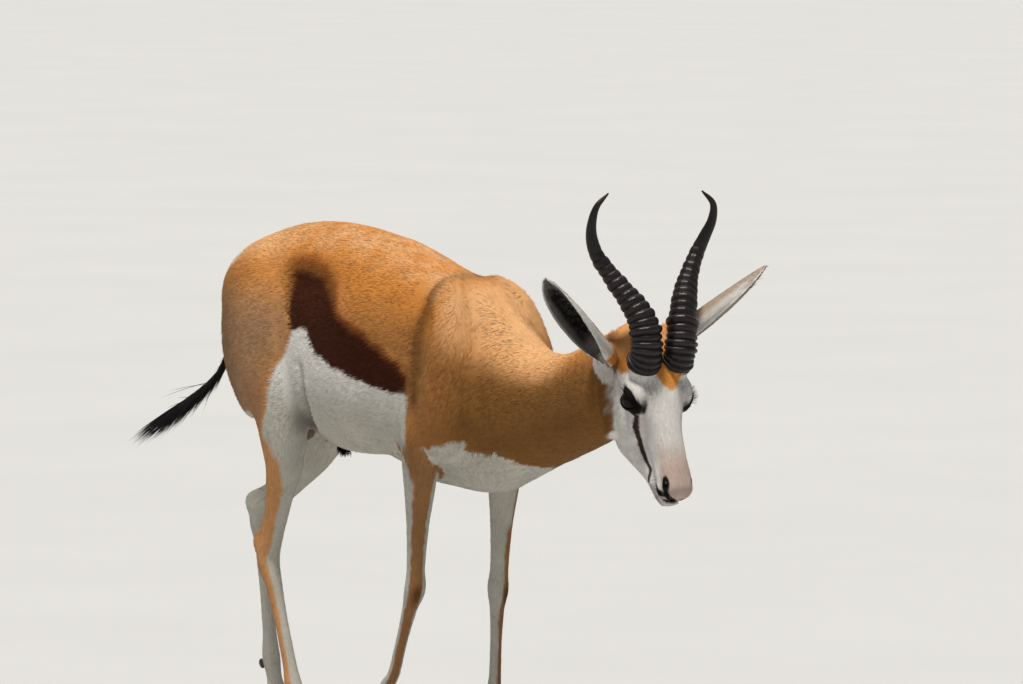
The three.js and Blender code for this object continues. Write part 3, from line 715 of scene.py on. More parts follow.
def leg_axis(leg, z):
    """X of a leg's middle at height z, from its joints."""
    middle, top = ("knee", "elbow") if "knee" in leg else ("hock", "stifle")
    xs, zs = zip(coronet_of(leg), leg["fetlock"], leg[middle], leg[top])
    return np.interp(z, zs, xs)


def on_a_leg(p):
    """The legs' points: everything low, and up beside the chest only what stands near a leg's own line."""
    x, y, z = p.T
    near = np.zeros(len(p), bool)
    for legs, back, ahead in ((FORELEGS, -45, 36), (HINDLEGS, -110, 45)):
        for side, leg in legs.items():
            off = x - leg_axis(leg, z)
            near |= (off > back) & (off < ahead) & (side * y > 48)
    return (z < 485) & ((z < 392) | near)


def blend(base, over, mask):
    return base + (over - base) * mask[:, None]


def speckle(p, size, seed):
    """Smooth noise from -1 to 1, from a few turned waves."""
    draw = np.random.default_rng(seed)
    total = np.zeros(len(p))
    for _ in range(10):
        k = unit(draw.normal(size=3)) * (2 * math.pi / size) * draw.uniform(0.6, 1.6)
        total += np.sin(p @ k + draw.uniform(0, 6.28))
    return np.clip(total / 3.2, -1, 1)


def dimmed(c, share):
    return c * (1 - share)[:, None]


def crossfade(a, b, t):
    return a * (1 - t) + b * t


def body_colours(p, n):
    x, y, z = p.T
    side_view = p[:, [0, 2]]
    wander = speckle(p, 30, 3) * 2.5 + speckle(p, 9, 4) * 0.9
    top, wide = (np.interp(x, BODY_LINE[:, 0], BODY_LINE[:, k]) for k in (1, 3))
    high = (z - wide) / (top - wide)
    c = blend(TAN, CINNAMON, ramp(high, 0.25, 0.8) * (1 - ramp(x, 330, 420) * 0.5))
    # Painted highlight: the top of the back paler, as lit from above
    c = blend(c, PALE_PAINTED_HIGHLIGHT, ramp(high, 0.7, 0.92) * 0.6 * (0.8 + 0.4 * speckle(p, 40, 5)))
    # Painted shade: the lower sides darker, turned away from the light above
    c = dimmed(c, 0.36 * (1 - ramp(high, 0.35, 0.95)) * ramp(x, -120, 90))
    # Painted shade: the lower neck and chest darker
    c = blend(c, SHADED_NECK_TAN, ramp(x, 200, 330) * (1 - ramp(high, 0.2, 0.8)) * 0.9)
    shade = nearest_on(SHOULDER_SHADE, side_view)[0]
    c = dimmed(c, 0.56 * np.exp(-((shade / 18) ** 2)))
    # Painted highlight on the lit front of the withers and on the croup
    front = ramp(x, 215, 265) * (1 - ramp(x, 420, 490)) * ramp(high, 0.3, 0.8) * 0.7
    croup = ramp(-x, 130, 200) * ramp(high, 0.5, 0.85) * 0.72
    c = blend(c, PALE_PAINTED_HIGHLIGHT * 1.08, np.maximum(front, croup))
    thigh_front = curve(THIGH_FRONT, z)
    hind = ramp(thigh_front - x, -5, 20)
    # The thigh's greyer tan, darkened as painted shade
    c = blend(c, SHADED_THIGH_TAN, hind * (1 - ramp(z, 630, 715)) * 0.9)
    # Painted shade on the rump, turned away from the light
    c = dimmed(c, 0.26 * ramp(-x, 200, 265) * (1 - ramp(z, 690, 760)))
    c = blend(c, TAN * 0.8, hind * bump(x, thigh_front - 25, 40) * 0.3)
    fade = 3 + 20 * ramp(z, 630, 700)
    ahead_of_thigh = ramp(x - thigh_front, -fade, fade + 2)
    behind_shoulder = 1 - ramp(x + wander, FLANK_TO_SHOULDER - 6, FLANK_TO_SHOULDER + 9)
    # The band is the coat's own dark colour. Towards the rear it spreads softly up into the hollow before the
    # thigh, where its dark is partly painted shade
    under_edge = curve(BAND_HIGH, x) + 6 + wander - z
    soft = 5 + 14 * ramp(-x, -20, 40)
    band = ramp(under_edge, -soft, soft) * ahead_of_thigh * behind_shoulder
    core = ramp(under_edge, soft * -0.3, 11 + soft) * ahead_of_thigh * behind_shoulder
    c = blend(c, RUFOUS_AND_HOLLOW_SHADE, band * (1 - ramp(under_edge, 2, 24)) * 0.85)
    c = blend(c, CHOCOLATE, core * 0.97)
    flank = ramp(curve(BAND_LOW, x) + wander - z, -3.5, 3.5) * ahead_of_thigh * behind_shoulder
    belly = np.maximum(ramp(-n[:, 2], 0.45, 0.7), ramp(478 - z, 0, 10) * (np.abs(y) < 60))
    belly = belly * (z < 560) * (x < 330)
    chest = ramp(curve(BRISKET_EDGE, x) + wander - z, -4, 4)
    chest = chest * (x > FLANK_TO_SHOULDER - 60) * (1 - ramp(x, 395, 430))
    chest = chest * ((x > np.interp(z, [440, 474], [212, 236])) | (np.abs(y) < 60))
    inner = (np.abs(y) < 52) & (z < 520) & (x < 10)
    rump = ramp(52 - np.abs(y) + wander, -4, 6) * ramp(-x, 282, 300) * (1 - ramp(z, 745, 764))
    white = np.maximum.reduce([flank, belly, chest, inner, rump])
    c = blend(c, WHITE, white)
    # Painted shade: the white darker and greyer low down, under the body
    c = blend(c, SHADED_WHITE, white * (1 - ramp(z, 480, 600)))
    crest = bump(y, 0, 7) * ramp(n[:, 2], 0.5, 0.8) * (ramp(-x, 240, 300) + bump(x, 110, 80) * 0.2)
    c = blend(c, WHITE, np.clip(crest, 0, 1) * 0.8)
    # Painted shade in the groin, between the near thigh and the belly
    groin_shade = np.exp(-(((x + 94) / 14) ** 2) - ((z - 484) / 27) ** 2) * (y < -40)
    c = dimmed(c, 0.66 * groin_shade)
    # Painted shade along the crease between thigh and belly, low down
    crease_shade = nearest_on(FOLDS[2][0], side_view)[0] + 1e3 * (y > 0)
    return dimmed(c, 0.65 * np.exp(-((crease_shade / 6) ** 2)) * ramp(590 - z, 0, 60))


def foreleg_colours(base, z, round_, wander, knee_z, side):
    """A tan stripe down the front of a white leg, with a dark patch under the knee."""
    half = 40 + 40 * ramp(z, 400, 476) + 8 * (1 - ramp(z, knee_z - 40, knee_z - 10))
    stripe = ramp(half - np.abs(round_ - 33 + wander), -8, 8)
    if side > 0:
        stripe = stripe * (1 - ramp(z, 330, 350) * (1 - ramp(round_, 12, 28)))
    patch = bump(z, knee_z - 10, 24) * bump(round_, 22, 45)
    # The leg is white in painted shade, with its tan stripe
    c = blend(SHADED_WHITE, FORELEG_TAN, stripe * 0.92)
    c = blend(c, colour(96, 56, 32), np.clip(patch * 1.1, 0, 0.85))
    c = blend(c, colour(150, 108, 74), (1 - ramp(z, 180, 250)) * stripe * 0.4)
    return blend(base, c, ramp(476 - z, 0, 16))


def hindleg_colours(base, z, round_, wander):
    """White in front and inside, tan behind and outside."""
    first = 52 + 46 * ramp(z, 380, 460)
    turn = (round_ + 90) % 360 - 90
    rear = ramp(turn - first + wander, -9, 9) * (1 - ramp(turn + wander, 195, 212))
    # The leg's white in painted shade, with tan behind
    return blend(base, blend(SHADED_WHITE, HINDLEG_TAN, rear), ramp(480 - z, 0, 30))


def leg_colours(p, n, c):
    """The legs' own markings below the body, over the colours that the body gives."""
    for legs in (FORELEGS, HINDLEGS):
        for side, leg in legs.items():
            mine = ((p[:, 1] > 0) == (side > 0)) & ((p[:, 0] > 20) == (legs is FORELEGS))
            q, m = p[mine], n[mine]
            round_ = np.degrees(np.arctan2(side * m[:, 1], m[:, 0]))
            place = (c[mine], q[:, 2], round_, speckle(q, 22, 11) * 5)
            if legs is FORELEGS:
                base = foreleg_colours(*place, leg["knee"][1], side)
            else:
                base = hindleg_colours(*place)
            coronet = coronet_of(leg)[1]
            dark = 1 - ramp(q[:, 2], coronet + 1, coronet + 9)
            c[mine] = blend(base, colour(84, 66, 54), dark * 0.5)
    return c


# Lines of the face in the head's frame. Where a row has two numbers they are [x, z].
POLL_EDGE = table((-90, -86), (-60, -70), (-43, -64), (-20, -58), (-6, -48), (0, -14), (30, 10))
TEAR_STRIPE = table((56, -38), (73, -54), (95, -66), (114, -63), (135, -59), (150, -68))
NOSE_FOLD = table((180, 17, -24), (175, 21, -36), (164, 23, -46))
EAR_ROOT = table((-66, 85, -44), (-47, 80, -55), (-27, 70, -60), (-8, 58, -62))
# Rear edge of the cheek, [z, x] in the body's frame
JOWL = table((496, 542), (512, 565), (590, 569))


def head_colours(h):
    x, y, z = h.T
    wander = speckle(h, 14, 21) * 1.6
    c = blend(WHITE, GREY, ramp(x, 20, 60) * (1 - ramp(x, 120, 150)) * ramp(z, -60, -25) * 0.22)
    brow = bump(x, 30, 34) * ramp(z, -22, -8) * bump(np.abs(y), 24, 18)
    c = blend(c, GREY * 0.8, np.clip(brow * (0.4 + 0.3 * speckle(h, 5, 22)), 0, 1))
    over = z - curve(POLL_EDGE, x)
    poll = ramp(over + wander, -3, 3) * (1 - ramp(x, -8, 2))
    c = blend(c, FOREHEAD, poll)
    # Painted highlight on the top of the poll
    c = blend(c, PALE_PAINTED_HIGHLIGHT, poll * (1 - ramp(x, -45, -20)) * 0.6)
    # Painted shade in the poll near the ear's root
    c = blend(c, colour(110, 56, 26), poll * bump(over, 9, 11) * ramp(x, -60, -30) * 0.35)
    c = blend(c, colour(92, 46, 24), bump(x, -20, 24) * bump(y, 0, 14) * ramp(z, -16, -6) * 0.7)
    vee = (np.abs(y - 8) / 24) ** 1.4 + (np.clip(x, 0, None) / 38) ** 1.3 + wander * 0.04
    c = blend(c, FOREHEAD, (1 - ramp(vee, 0.88, 1.06)) * ramp(x, -14, -6) * ramp(z, -16, -9))
    nose = ramp(x, 95, 150) * np.maximum(ramp(z, -30, -18), ramp(x, 178, 184) * ramp(z, -43, -38))
    c = blend(c, NOSE_PINK, nose * 0.85)
    c = blend(c, GREY, ramp(x, 150, 165) * (1 - ramp(z, -46, -38)) * 0.25)
    far, where = nearest_on(TEAR_STRIPE, h[:, [0, 2]])
    tear = ramp(5.0 - 3.0 * where - far + wander * 0.5, -1.2, 1.2)
    for s in (1, -1):
        c = blend(c, colour(46, 17, 9), tear * (s * y > 6) * 0.97)
        along, across, out = lid_place(h, s)
        oval = np.hypot((along - 1) / 26, (across - 1) / 18)
        rim = 1 - ramp(lid_edge(along, across), 2.4, 4.5)
        dark = np.maximum(rim, 1 - ramp(oval + wander * 0.02, 0.88, 1.08)) * (out > -12)
        corner = bump(np.hypot(along - 20, (across + 3) * 1.3), 0, 9) * (out > -12)
        c = blend(c, SOOT, np.maximum(dark, corner * 0.9))
        for path in (NOSTRIL_PATH, NOSE_FOLD):
            c = blend(c, SOOT, 1 - ramp(nearest_on(path * [1, s, 1], h)[0], 5, 8))
    c = blend(c, GREY * 0.7, ramp(x, 146, 166) * (1 - ramp(z, -56, -50)) * 0.6)
    return blend(c, SOOT, (1 - ramp(np.abs(z - curve(MOUTH_LINE, x)), 1.8, 4.2)) * ramp(x, 132, 150))


def ear_colours(s, h, c):
    """Black in the cup, white hair along its front edge, where across is -1, and a pale back."""
    mine, share, across, depth = on_ear(s, h, 0.12, -2.5, 6)
    rough = speckle(h, 7, 33)
    root = 1 - ramp(share, 0.16, 0.34)
    back = blend(EAR_BACK if s > 0 else GREY * 1.25, GREY, np.clip(0.25 + 0.12 * speckle(h, 9, 31), 0, 1))
    back = blend(back, WHITE * 0.9, ramp(-across, 0.45, 0.7) * (1 - ramp(share, 0.7, 0.9)) * 0.8)
    back = blend(back, SOOT, ramp(across * -s, 0.80, 0.93) * bump(share, 0.5, 0.3) * 0.85)
    back = blend(back, WHITE, root)
    cup = blend(SOOT, GREY * 0.6, np.clip(0.15 * rough + ramp(share, 0.78, 0.95) * 0.6, 0, 1))
    cup = blend(cup, GREY * 0.8, ramp(across, 0.5, 0.8) * 0.5)
    cup = blend(cup, WHITE * 0.95, ramp(-across, 0.12, 0.38) * np.clip(0.8 + 0.35 * rough, 0, 1))
    cup = blend(cup, GREY, root * 0.8)
    both = blend(back, cup, ramp(depth, 1.0, 1.6))
    both = blend(both, WHITE, ramp(np.abs(across), 0.84, 0.95) * np.where(across < 0, 1, 0.5))
    return np.where(mine[:, None], both, c)


def markings(p, n):
    """The coat's colour at points p with normals n. Skin and tufts both take theirs from here."""
    h = to_head(p)
    x, _, z = p.T
    c = body_colours(p, n)
    legs = on_a_leg(p)
    c[legs] = leg_colours(p[legs], n[legs], c[legs])
    ahead = h[:, 2] + 59 + 0.455 * (h[:, 0] + 9)
    ahead = crossfade(ahead, x - curve(JOWL, z), ramp(h[:, 0], -20, 4))
    on_head = ramp(ahead + speckle(p, 16, 41) * 1.2, -3, 3) * (h[:, 0] > -95)
    on_head = np.maximum(on_head, h[:, 0] >= 80) * (x > 500)
    c = crossfade(c, head_colours(h), on_head[:, None])
    uneven = speckle(p, 12, 42)
    for s in (1, -1):
        c = blend(c, WHITE, (1 - ramp(nearest_on(EAR_ROOT * [1, s, 1], h)[0] + uneven, 10, 15)) * (x > 500))
    for s in (1, -1):
        c = ear_colours(s, h, c)
    far, where = nearest_on(TAIL_PATH, p)
    tail = (far < 22) & (x < -335) & (where > 0.22)
    black = ramp(where + speckle(p, 12, 51) * 0.03, 0.36, 0.46)
    c = np.where(tail[:, None], blend(WHITE, SOOT, black), c)
    purse = (np.linalg.norm((p - [-192, 0, 478]) / [23, 24, 35], axis=1) < 1) & (z < 498)
    return np.where(purse[:, None], colour(118, 104, 92), c)


def add_attribute(me, name, kind, values):
    layer = me.attributes.new(name, kind, "POINT")
    field = {"FLOAT_COLOR": "color", "FLOAT_VECTOR": "vector", "FLOAT": "value"}[kind]
    if kind == "FLOAT_COLOR":
        values = np.concatenate([values, np.ones((len(values), 1))], axis=1)
    layer.data.foreach_set(field, np.asarray(values, np.float32).ravel())


# The lie of the coat


def lie_of(p, n):
    """Which way the hair lies at points p with normals n, as unit vectors in the skin."""
    h = to_head(p)
    x, _, z = p.T
    way = all_over([-1.0, 0, -0.22], p)
    way[:, 2] -= 0.5 * ramp(-x, 150, 260) * (1 - ramp(z, 640, 740))
    way[:, 2] -= 0.45 * ramp(x, 120, 230) * (1 - ramp(x, 330, 400)) * (1 - ramp(z, 640, 700))
    way[:, 2] += 0.15 * ramp(x, 400, 520)
    way[:, 2] -= 0.6 * ramp(n[:, 0], 0, 1)
    down = ramp(500 - z, 0, 50) * (x < 330)
    shin = (x < 0) & (z > 300)
    way = crossfade(way, np.where(shin[:, None], [-0.35, 0, -1.0], [0.05, 0, -1.0]), down[:, None])
    on_head = ramp(h[:, 0], -95, -60) * (h[:, 2] > -150) * (x > 520) * ramp(h[:, 2], -110, -80)
    on_head = np.maximum(on_head, (h[:, 0] > 70) * (x > 520))
    way = crossfade(way, HEAD_TURN @ np.array([-1.0, 0, -0.15]), on_head[:, None])
    for s in (1, -1):
        mine = on_ear(s, h, 0.1, -3, 8)[0]
        way = np.where(mine[:, None], HEAD_TURN @ (EAR_ALONG[s] * [1, s, 1]), way)
    far, where = nearest_on(TAIL_PATH, p)
    on_tail = (far < 24) & (x < -332)
    way = unit(np.where(on_tail[:, None], unit(on_tail_path(TAIL_WAYS, where)), way))
    return unit(way - n * (way * n).sum(1, keepdims=True))


skin = make_skin()

# Materials


class Nodes:
    """A material's node tree, with short calls to add and link nodes."""

    def __init__(self, name, roughness, **plain):
        self.material = bpy.data.materials.new(name)
        self.material.use_nodes = True
        self.tree = self.material.node_tree
        self.shader = self.tree.nodes["Principled BSDF"]
        self.shader.inputs["Roughness"].default_value = roughness
        for key, value in plain.items():
            self.shader.inputs[key.replace("_", " ")].default_value = value

    def feed(self, socket, value):
        if isinstance(value, bpy.types.NodeSocket):
            self.tree.links.new(value, socket)
        else:
            socket.default_value = value

    def add(self, kind, settings=None, **inputs):
        """A new node. An input is named, with _ for a space, or numbered, as i0."""
        node = self.tree.nodes.new("ShaderNode" + kind)
        for key, value in (settings or {}).items():
            setattr(node, key, value)
        for key, value in inputs.items():
            self.feed(node.inputs[int(key[1:]) if key[1:].isdigit() else key.replace("_", " ")], value)
        return node

    def math(self, how, a, b):
        return self.add("Math", {"operation": how}, i0=a, i1=b).outputs[0]

    def mix(self, how, share, a, b):
        a, b = ((*v, 1) if isinstance(v, tuple) else v for v in (a, b))
        return self.add("Mix", {"data_type": "RGBA", "blend_type": how}, i0=share, i6=a, i7=b).outputs[2]

    def spread(self, value, low, high, to_low=0.0, to_high=1.0):
        ends = dict(From_Min=low, From_Max=high, To_Min=to_low, To_Max=to_high)
        return self.add("MapRange", None, Value=value, **ends).outputs[0]

    def noise(self, scale, detail, rough, vector):
        node = self.add("TexNoise", None, Scale=scale, Detail=detail, Roughness=rough, Vector=vector)
        return node.outputs[0]

    def attribute(self, name, out="Color"):
        return self.add("Attribute", {"attribute_name": name}).outputs[out]

    def mapped(self, place, stretch):
        return self.add("Mapping", None, Vector=place, Scale=stretch).outputs[0]

    def object_place(self, stretch=(1, 1, 1)):
        return self.mapped(self.add("TexCoord").outputs["Object"], stretch)

    def bump(self, height, strength, distance):
        node = self.add("Bump", None, Height=height, Strength=strength, Distance=distance)
        self.tree.links.new(node.outputs[0], self.shader.inputs["Normal"])

    def base(self, value):
        self.tree.links.new(value, self.shader.inputs["Base Color"])

    def shaded_marks(self, *shades):
        """The colour of the marks, darkened or lightened by every shade."""
        shade = shades[0]
        for other in shades[1:]:
            shade = self.math("MULTIPLY", shade, other)
        grey = self.add("CombineColor", None, Red=shade, Green=shade, Blue=shade).outputs[0]
        self.base(self.mix("MULTIPLY", 1.0, self.attribute("marks"), grey))


def skin_material():
    m = Nodes("skin_with_undercoat", 0.75, Sheen_Weight=0.02, Sheen_Roughness=0.5, Specular_IOR_Level=0.06)
    comb = m.attribute("comb", "Vector")
    streak = m.noise(1.0, 4, 0.6, m.mapped(comb, (0.05, 0.55, 1)))
    fine = m.noise(1.0, 2, 0.5, m.mapped(comb, (0.16, 1.6, 1)))
    patchy = m.spread(m.noise(22, 3, 0.5, m.object_place()), 0.3, 0.7, 0.93, 1.05)
    m.shaded_marks(m.spread(streak, 0.3, 0.7, 0.87, 1.07), m.spread(fine, 0.3, 0.7, 0.91, 1.06), patchy)
    m.bump(m.math("ADD", streak, fine), 0.55, 0.0012)
    return m.material


def coat_material(name, roughness=0.72, specular=0.06):
    m = Nodes(name, roughness, Sheen_Weight=0.02, Sheen_Roughness=0.4, Specular_IOR_Level=specular)
    patchy = m.spread(m.noise(22, 3, 0.5, m.object_place()), 0.3, 0.7, 0.93, 1.05)
    fine = m.noise(900, 2, 0.5, m.object_place())
    tint = m.spread(m.attribute("tint", "Fac"), 0, 1, 0.64, 1.28)
    m.shaded_marks(tint, patchy, m.spread(fine, 0.3, 0.7, 0.92, 1.06))
    m.bump(fine, 0.15, 0.0004)
    return m.material


def horn_material():
    m = Nodes("ribbed_horn", 0.3, Specular_IOR_Level=0.3)
    along, round_, crest = (m.attribute(k, "Fac") for k in ("along", "round", "crest"))
    x, y = m.math("MULTIPLY", along, 6), m.math("MULTIPLY", round_, 14)
    grain = m.noise(3.0, 5, 0.6, m.add("CombineXYZ", None, X=x, Y=y, Z=0.0).outputs[0])
    cloudy = m.noise(26, 3, 0.6, m.object_place())
    high = m.mix("MIX", m.spread(grain, 0.35, 0.7), (0.007, 0.004, 0.005), (0.020, 0.012, 0.013))
    high = m.mix("MIX", m.spread(cloudy, 0.45, 0.75, 0.0, 0.5), high, (0.040, 0.026, 0.027))
    # Painted shade: the grooves between the rings near black, the crests lighter
    tone = m.mix("MIX", m.spread(crest, 0.2, 0.85), (0.002, 0.0015, 0.0015), high)
    m.base(m.mix("MIX", m.spread(along, 0.0, 0.10, 0.5, 0.0), tone, (0.014, 0.010, 0.009)))
    m.bump(m.math("ADD", grain, m.math("MULTIPLY", cloudy, 0.4)), 0.35, 0.0011)
    rough = m.math("ADD", m.spread(crest, 0.1, 0.9, 0.6, 0.2), m.spread(grain, 0.3, 0.8, 0.0, 0.12))
    m.tree.links.new(rough, m.shader.inputs["Roughness"])
    return m.material


def hoof_material():
    m = Nodes("hoof_horn", 0.4, Specular_IOR_Level=0.5)
    rings = m.noise(1.0, 3, 0.6, m.object_place((40, 40, 700)))
    grain = m.noise(1.0, 3, 0.6, m.object_place((900, 900, 60)))
    m.base(m.mix("MIX", m.spread(rings, 0.35, 0.65), (0.014, 0.011, 0.010), (0.05, 0.038, 0.03)))
    m.bump(m.math("ADD", rings, grain), 0.4, 0.0008)
    return m.material


def eye_material():
    m = Nodes("wet_eye", 0.06, Specular_IOR_Level=0.14)
    iris, slit = m.attribute("iris", "Fac"), m.attribute("slit", "Fac")
    fibres = m.noise(420, 3, 0.6, m.object_place())
    brown = m.mix("MIX", m.spread(fibres, 0.35, 0.65), (0.004, 0.002, 0.0015), (0.012, 0.006, 0.003))
    tone = m.mix("MIX", m.spread(iris, 0.45, 0.55), brown, (0.003, 0.002, 0.002))
    m.base(m.mix("MIX", m.spread(slit, 0.45, 0.55), tone, (0.001, 0.001, 0.001)))
    return m.material


def floor_material():
    m = Nodes("pale_floor", 0.85)
    m.base(m.mix("MIX", m.noise(1.5, 2, 0.5, m.object_place()), (0.51, 0.51, 0.50), (0.55, 0.55, 0.54)))
    return m.material


MATERIALS = {
    "skin": skin_material(),
    "coat": coat_material("coat_hair"),
    "tail": coat_material("tail_hair", 0.5, 0.3),
    "horn": horn_material(),
    "hoof": hoof_material(),
    "eye": eye_material(),
}


def finish_piece(ob, material, slot, *nodes):
    ob.data.materials.clear()
    ob.data.materials.append(MATERIALS[material])
    ob.data.shade_smooth()
    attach(ob, "root")
    if nodes:
        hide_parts(*nodes)
    return ob


# Skin: ears joined on, then dressed

def comb_of(p, n):
    """Places for streaks on the skin: along the hair's lie and across it, in mm, part by part."""
    x, _, z = p.T
    hx, hy, hz = to_head(p).T
    legs = z < 470
    along = np.where(legs, -z, -x - 0.25 * z)
    across = np.where(legs, np.arctan2(n[:, 1], n[:, 0]) * 14, np.arctan2(n[:, 1], n[:, 2]) * 110)
    on_head = (x > 560) | (hx > -60) & (x > 530)
    along = np.where(on_head, -hx, along)
    across = np.where(on_head, np.arctan2(hy, hz + 60) * 38, across)
    return np.stack([along, across, np.zeros(len(p))], -1)


def join_ears():
    for s in (1, -1):
        ear = ear_shape(s).mesh(f"ear_form_{s}")
        cut = skin.modifiers.new("ear", "BOOLEAN")
        cut.operation, cut.solver, cut.object = "UNION", "MANIFOLD", ear
        active(skin)
        bpy.ops.object.modifier_apply(modifier=cut.name)
        bpy.data.objects.remove(ear)


join_ears()
skin_points, skin_normals = points_of(skin.data), normals_of(skin.data)
add_attribute(skin.data, "marks", "FLOAT_COLOR", markings(skin_points, skin_normals))
add_attribute(skin.data, "comb", "FLOAT_VECTOR", comb_of(skin_points, skin_normals))
FLESH = ["torso", "neck", "head", "ear_left", "ear_right", *FORE_NAMES.values(), *HIND_NAMES.values()]
finish_piece(skin, "skin", "coat", *FLESH)


# Eyes


def make_eye(s):
    eye = Shape()
    eye.ball((0, 0, 0), (1, 1, 1), detail=64)
    q = np.concatenate(eye.points)
    look, slant = unit([0.28, 1.0, 0.05]), np.array([LID_COS, 0, LID_SIN])
    flat = unit(slant - look * (slant @ look))
    a, b, facing = q @ flat, q @ np.cross(flat, look), q @ look
    rear = (facing < 0) * 9
    iris = ramp(np.hypot(a, b) + rear, 0.60, 0.66)
    slit = 1 - ramp(np.hypot(a / 0.42, b / 0.2) + rear, 0.9, 1.1)
    out = 1 + 0.05 * ramp(facing, 0.72, 0.95)
    eye.points = [from_head((q * out[:, None] * (EYE_R - 0.5) + EYE_AT) * [1, s, 1])]
    ob = eye.mesh("eyeball_" + SIDES[s])
    add_attribute(ob.data, "iris", "FLOAT", iris)
    add_attribute(ob.data, "slit", "FLOAT", slit)
    finish_piece(ob, "eye", "eye", "eye_" + SIDES[s])


# Horns

HORN_PATH = table(
    (-8, 27, -14), (-17, 27, 3), (-40, 28, 15), (-67, 32, 19), (-93, 41, 16), (-119, 53, 10),
    (-145, 67, 7), (-169, 81, 9), (-190, 92, 22), (-208, 98, 41), (-227, 95, 58), (-244, 77, 66),
)
LEFT_BOW = 3
# [share of the length, share of the radius at the base]
HORN_TAPER = table(
    (0, 1.02), (0.16, 0.98), (0.3, 0.83), (0.44, 0.66), (0.58, 0.51),
    (0.72, 0.37), (0.86, 0.24), (0.95, 0.14), (1, 0.05),
)


def curve_through(points, count):
    """Evenly spaced places along a centripetal Catmull-Rom curve through the points."""
    p = np.concatenate([[2 * points[0] - points[1]], points, [2 * points[-1] - points[-2]]])
    t = run_of(p, 0.5)
    out = []
    for i in range(1, len(p) - 2):
        for u in np.linspace(t[i], t[i + 1], 40, endpoint=i == len(p) - 3):
            a = [p[k] + (p[k + 1] - p[k]) * (u - t[k]) / (t[k + 1] - t[k]) for k in (i - 1, i, i + 1)]
            ends = ((t[i - 1], t[i + 1]), (t[i], t[i + 2]))
            b = [a[k] + (a[k + 1] - a[k]) * (u - low) / (high - low) for k, (low, high) in enumerate(ends)]
            out.append(b[0] + (b[1] - b[0]) * (u - t[i]) / (t[i + 1] - t[i]))
    run, share = run_of(out), np.linspace(0, 1, count)
    return share, np.stack([np.interp(share * run[-1], run, column) for column in np.transpose(out)], -1)


def tube(centres, radius, angle):
    """Rings round a path. radius gives each ring's points their distance, rows by angles."""
    ahead = unit(np.gradient(centres, axis=0))
    left = np.array([0, 1.0, 0])
    across = unit(left - ahead * (ahead @ left)[:, None])
    up = np.cross(ahead, across)
    c, s = (radius * np.cos(angle))[..., None], (radius * np.sin(angle))[..., None]
    return centres[:, None] + across[:, None] * c + up[:, None] * s


def make_horn(s):
    path = HORN_PATH.copy()
    if s > 0:
        path[:, 1] += LEFT_BOW * np.sin(math.pi * np.arange(len(path)) / (len(path) - 1))
    share, centres = curve_through(path * [1, s, 1], 420)
    angle = circle(56)
    ring = HORN_RINGS * np.clip(share / HORN_RINGED, 0, 1.6) ** (1 / 1.12)
    ring = ring + 3.0 * (1 - np.exp(-share / 0.06))
    tilt = 0.10 * np.cos(angle - 0.6) + 0.05 * np.sin(2 * angle + s)
    phase = ring[:, None] + tilt * 1.6
    number = np.floor(phase)
    crest = np.clip(np.sin(math.pi * (phase - number) ** 1.2), 0, 1) ** 0.62
    strong = 0.55 + 0.45 * np.sin(angle + 0.4 + 0.3 * number)
    fade = (1 - ramp(share, HORN_RINGED - 0.10, HORN_RINGED + 0.04))[:, None]
    depth = (0.20 - 0.08 * share)[:, None] * fade * (0.6 + 0.4 * strong)
    uneven = np.random.default_rng(60 + s).normal(size=64)
    ring_size = 1 + 0.035 * uneven[np.clip(number.astype(int), 0, 63)] * fade
    r = eased(*HORN_TAPER.T, share)[:, None] * HORN_BASE_R
    r = r * (1 + 0.06 - depth + depth * 1.05 * crest) * ring_size
    rows = from_head(tube(centres, r * (1 + 0.05 * np.cos(2 * angle)), angle))
    first, last = rows[0].mean(0), rows[-1].mean(0)
    horn = Shape()
    horn.skin_over(rows, first, last + (last - rows[-3].mean(0)) * 0.5)
    ob = horn.mesh("horn_sheath_" + SIDES[s])
    swirl = np.abs(np.sin(angle / 2)) + 0.4 * np.sin(3 * angle)
    ridge = crest * fade + 0.5 * (1 - fade)
    for name, grid, end in (("along", share[:, None], 1), ("round", swirl[None], 0), ("crest", ridge, 0.5)):
        values = [[0], np.broadcast_to(grid, r.shape).ravel(), [end]]
        add_attribute(ob.data, name, "FLOAT", np.concatenate(values))
    finish_piece(ob, "horn", "horn", "horn_" + SIDES[s])


# Hooves

# [height, how far ahead the middle lies, half the length, half the width]
HOOF_RINGS = table((0, 7.5, 24.5, 10), (4, 7, 25, 10.5), (HOOF_H * 0.55, 3, 20, 10.2), (HOOF_H, 0, 15, 9.5))
HOOF_GAP = 11.6


def make_hoof(s, leg, outer, name):
    levels = np.concatenate([[0, 0.6, 2, 4], np.linspace(6, HOOF_H - 1, 26), [HOOF_H - 0.3, HOOF_H]])[::-1]
    angle = circle(48)
    pinch = np.where(np.cos(angle) > 0, 1 - 0.45 * np.cos(angle), 1)
    rows = []
    for z in levels:
        a, b, w = (np.interp(z, HOOF_RINGS[:, 0], v) for v in HOOF_RINGS.T[1:])
        ripple = 1 + 0.012 * math.sin(z * 2.1) * ramp(z, 2, 6)
        inset = 0.5 * (z < 0.3) + 0.2
        x, y = a + (b * ripple - inset) * np.cos(angle), (w * ripple - inset) * pinch * np.sin(angle)
        rows.append(np.stack([x, y, np.full(len(angle), z)], -1))
    splay, tip = spin("z", -math.radians(outer * s * 3)), spin("y", -math.radians(leg["tip"]))
    x, z = coronet_of(leg)

    def place(p):
        p = np.asarray(p, float) @ splay + [0, s * outer * HOOF_GAP, -HOOF_H]
        return np.maximum(p @ tip + [x, s * leg["stance"], z], [-np.inf, -np.inf, 0])

    claw = Shape()
    claw.skin_over(place(rows), place([0, 0, HOOF_H]), place([7.5, 0, 0]))
    finish_piece(claw.mesh("claw_" + name), "hoof", "horn", name)


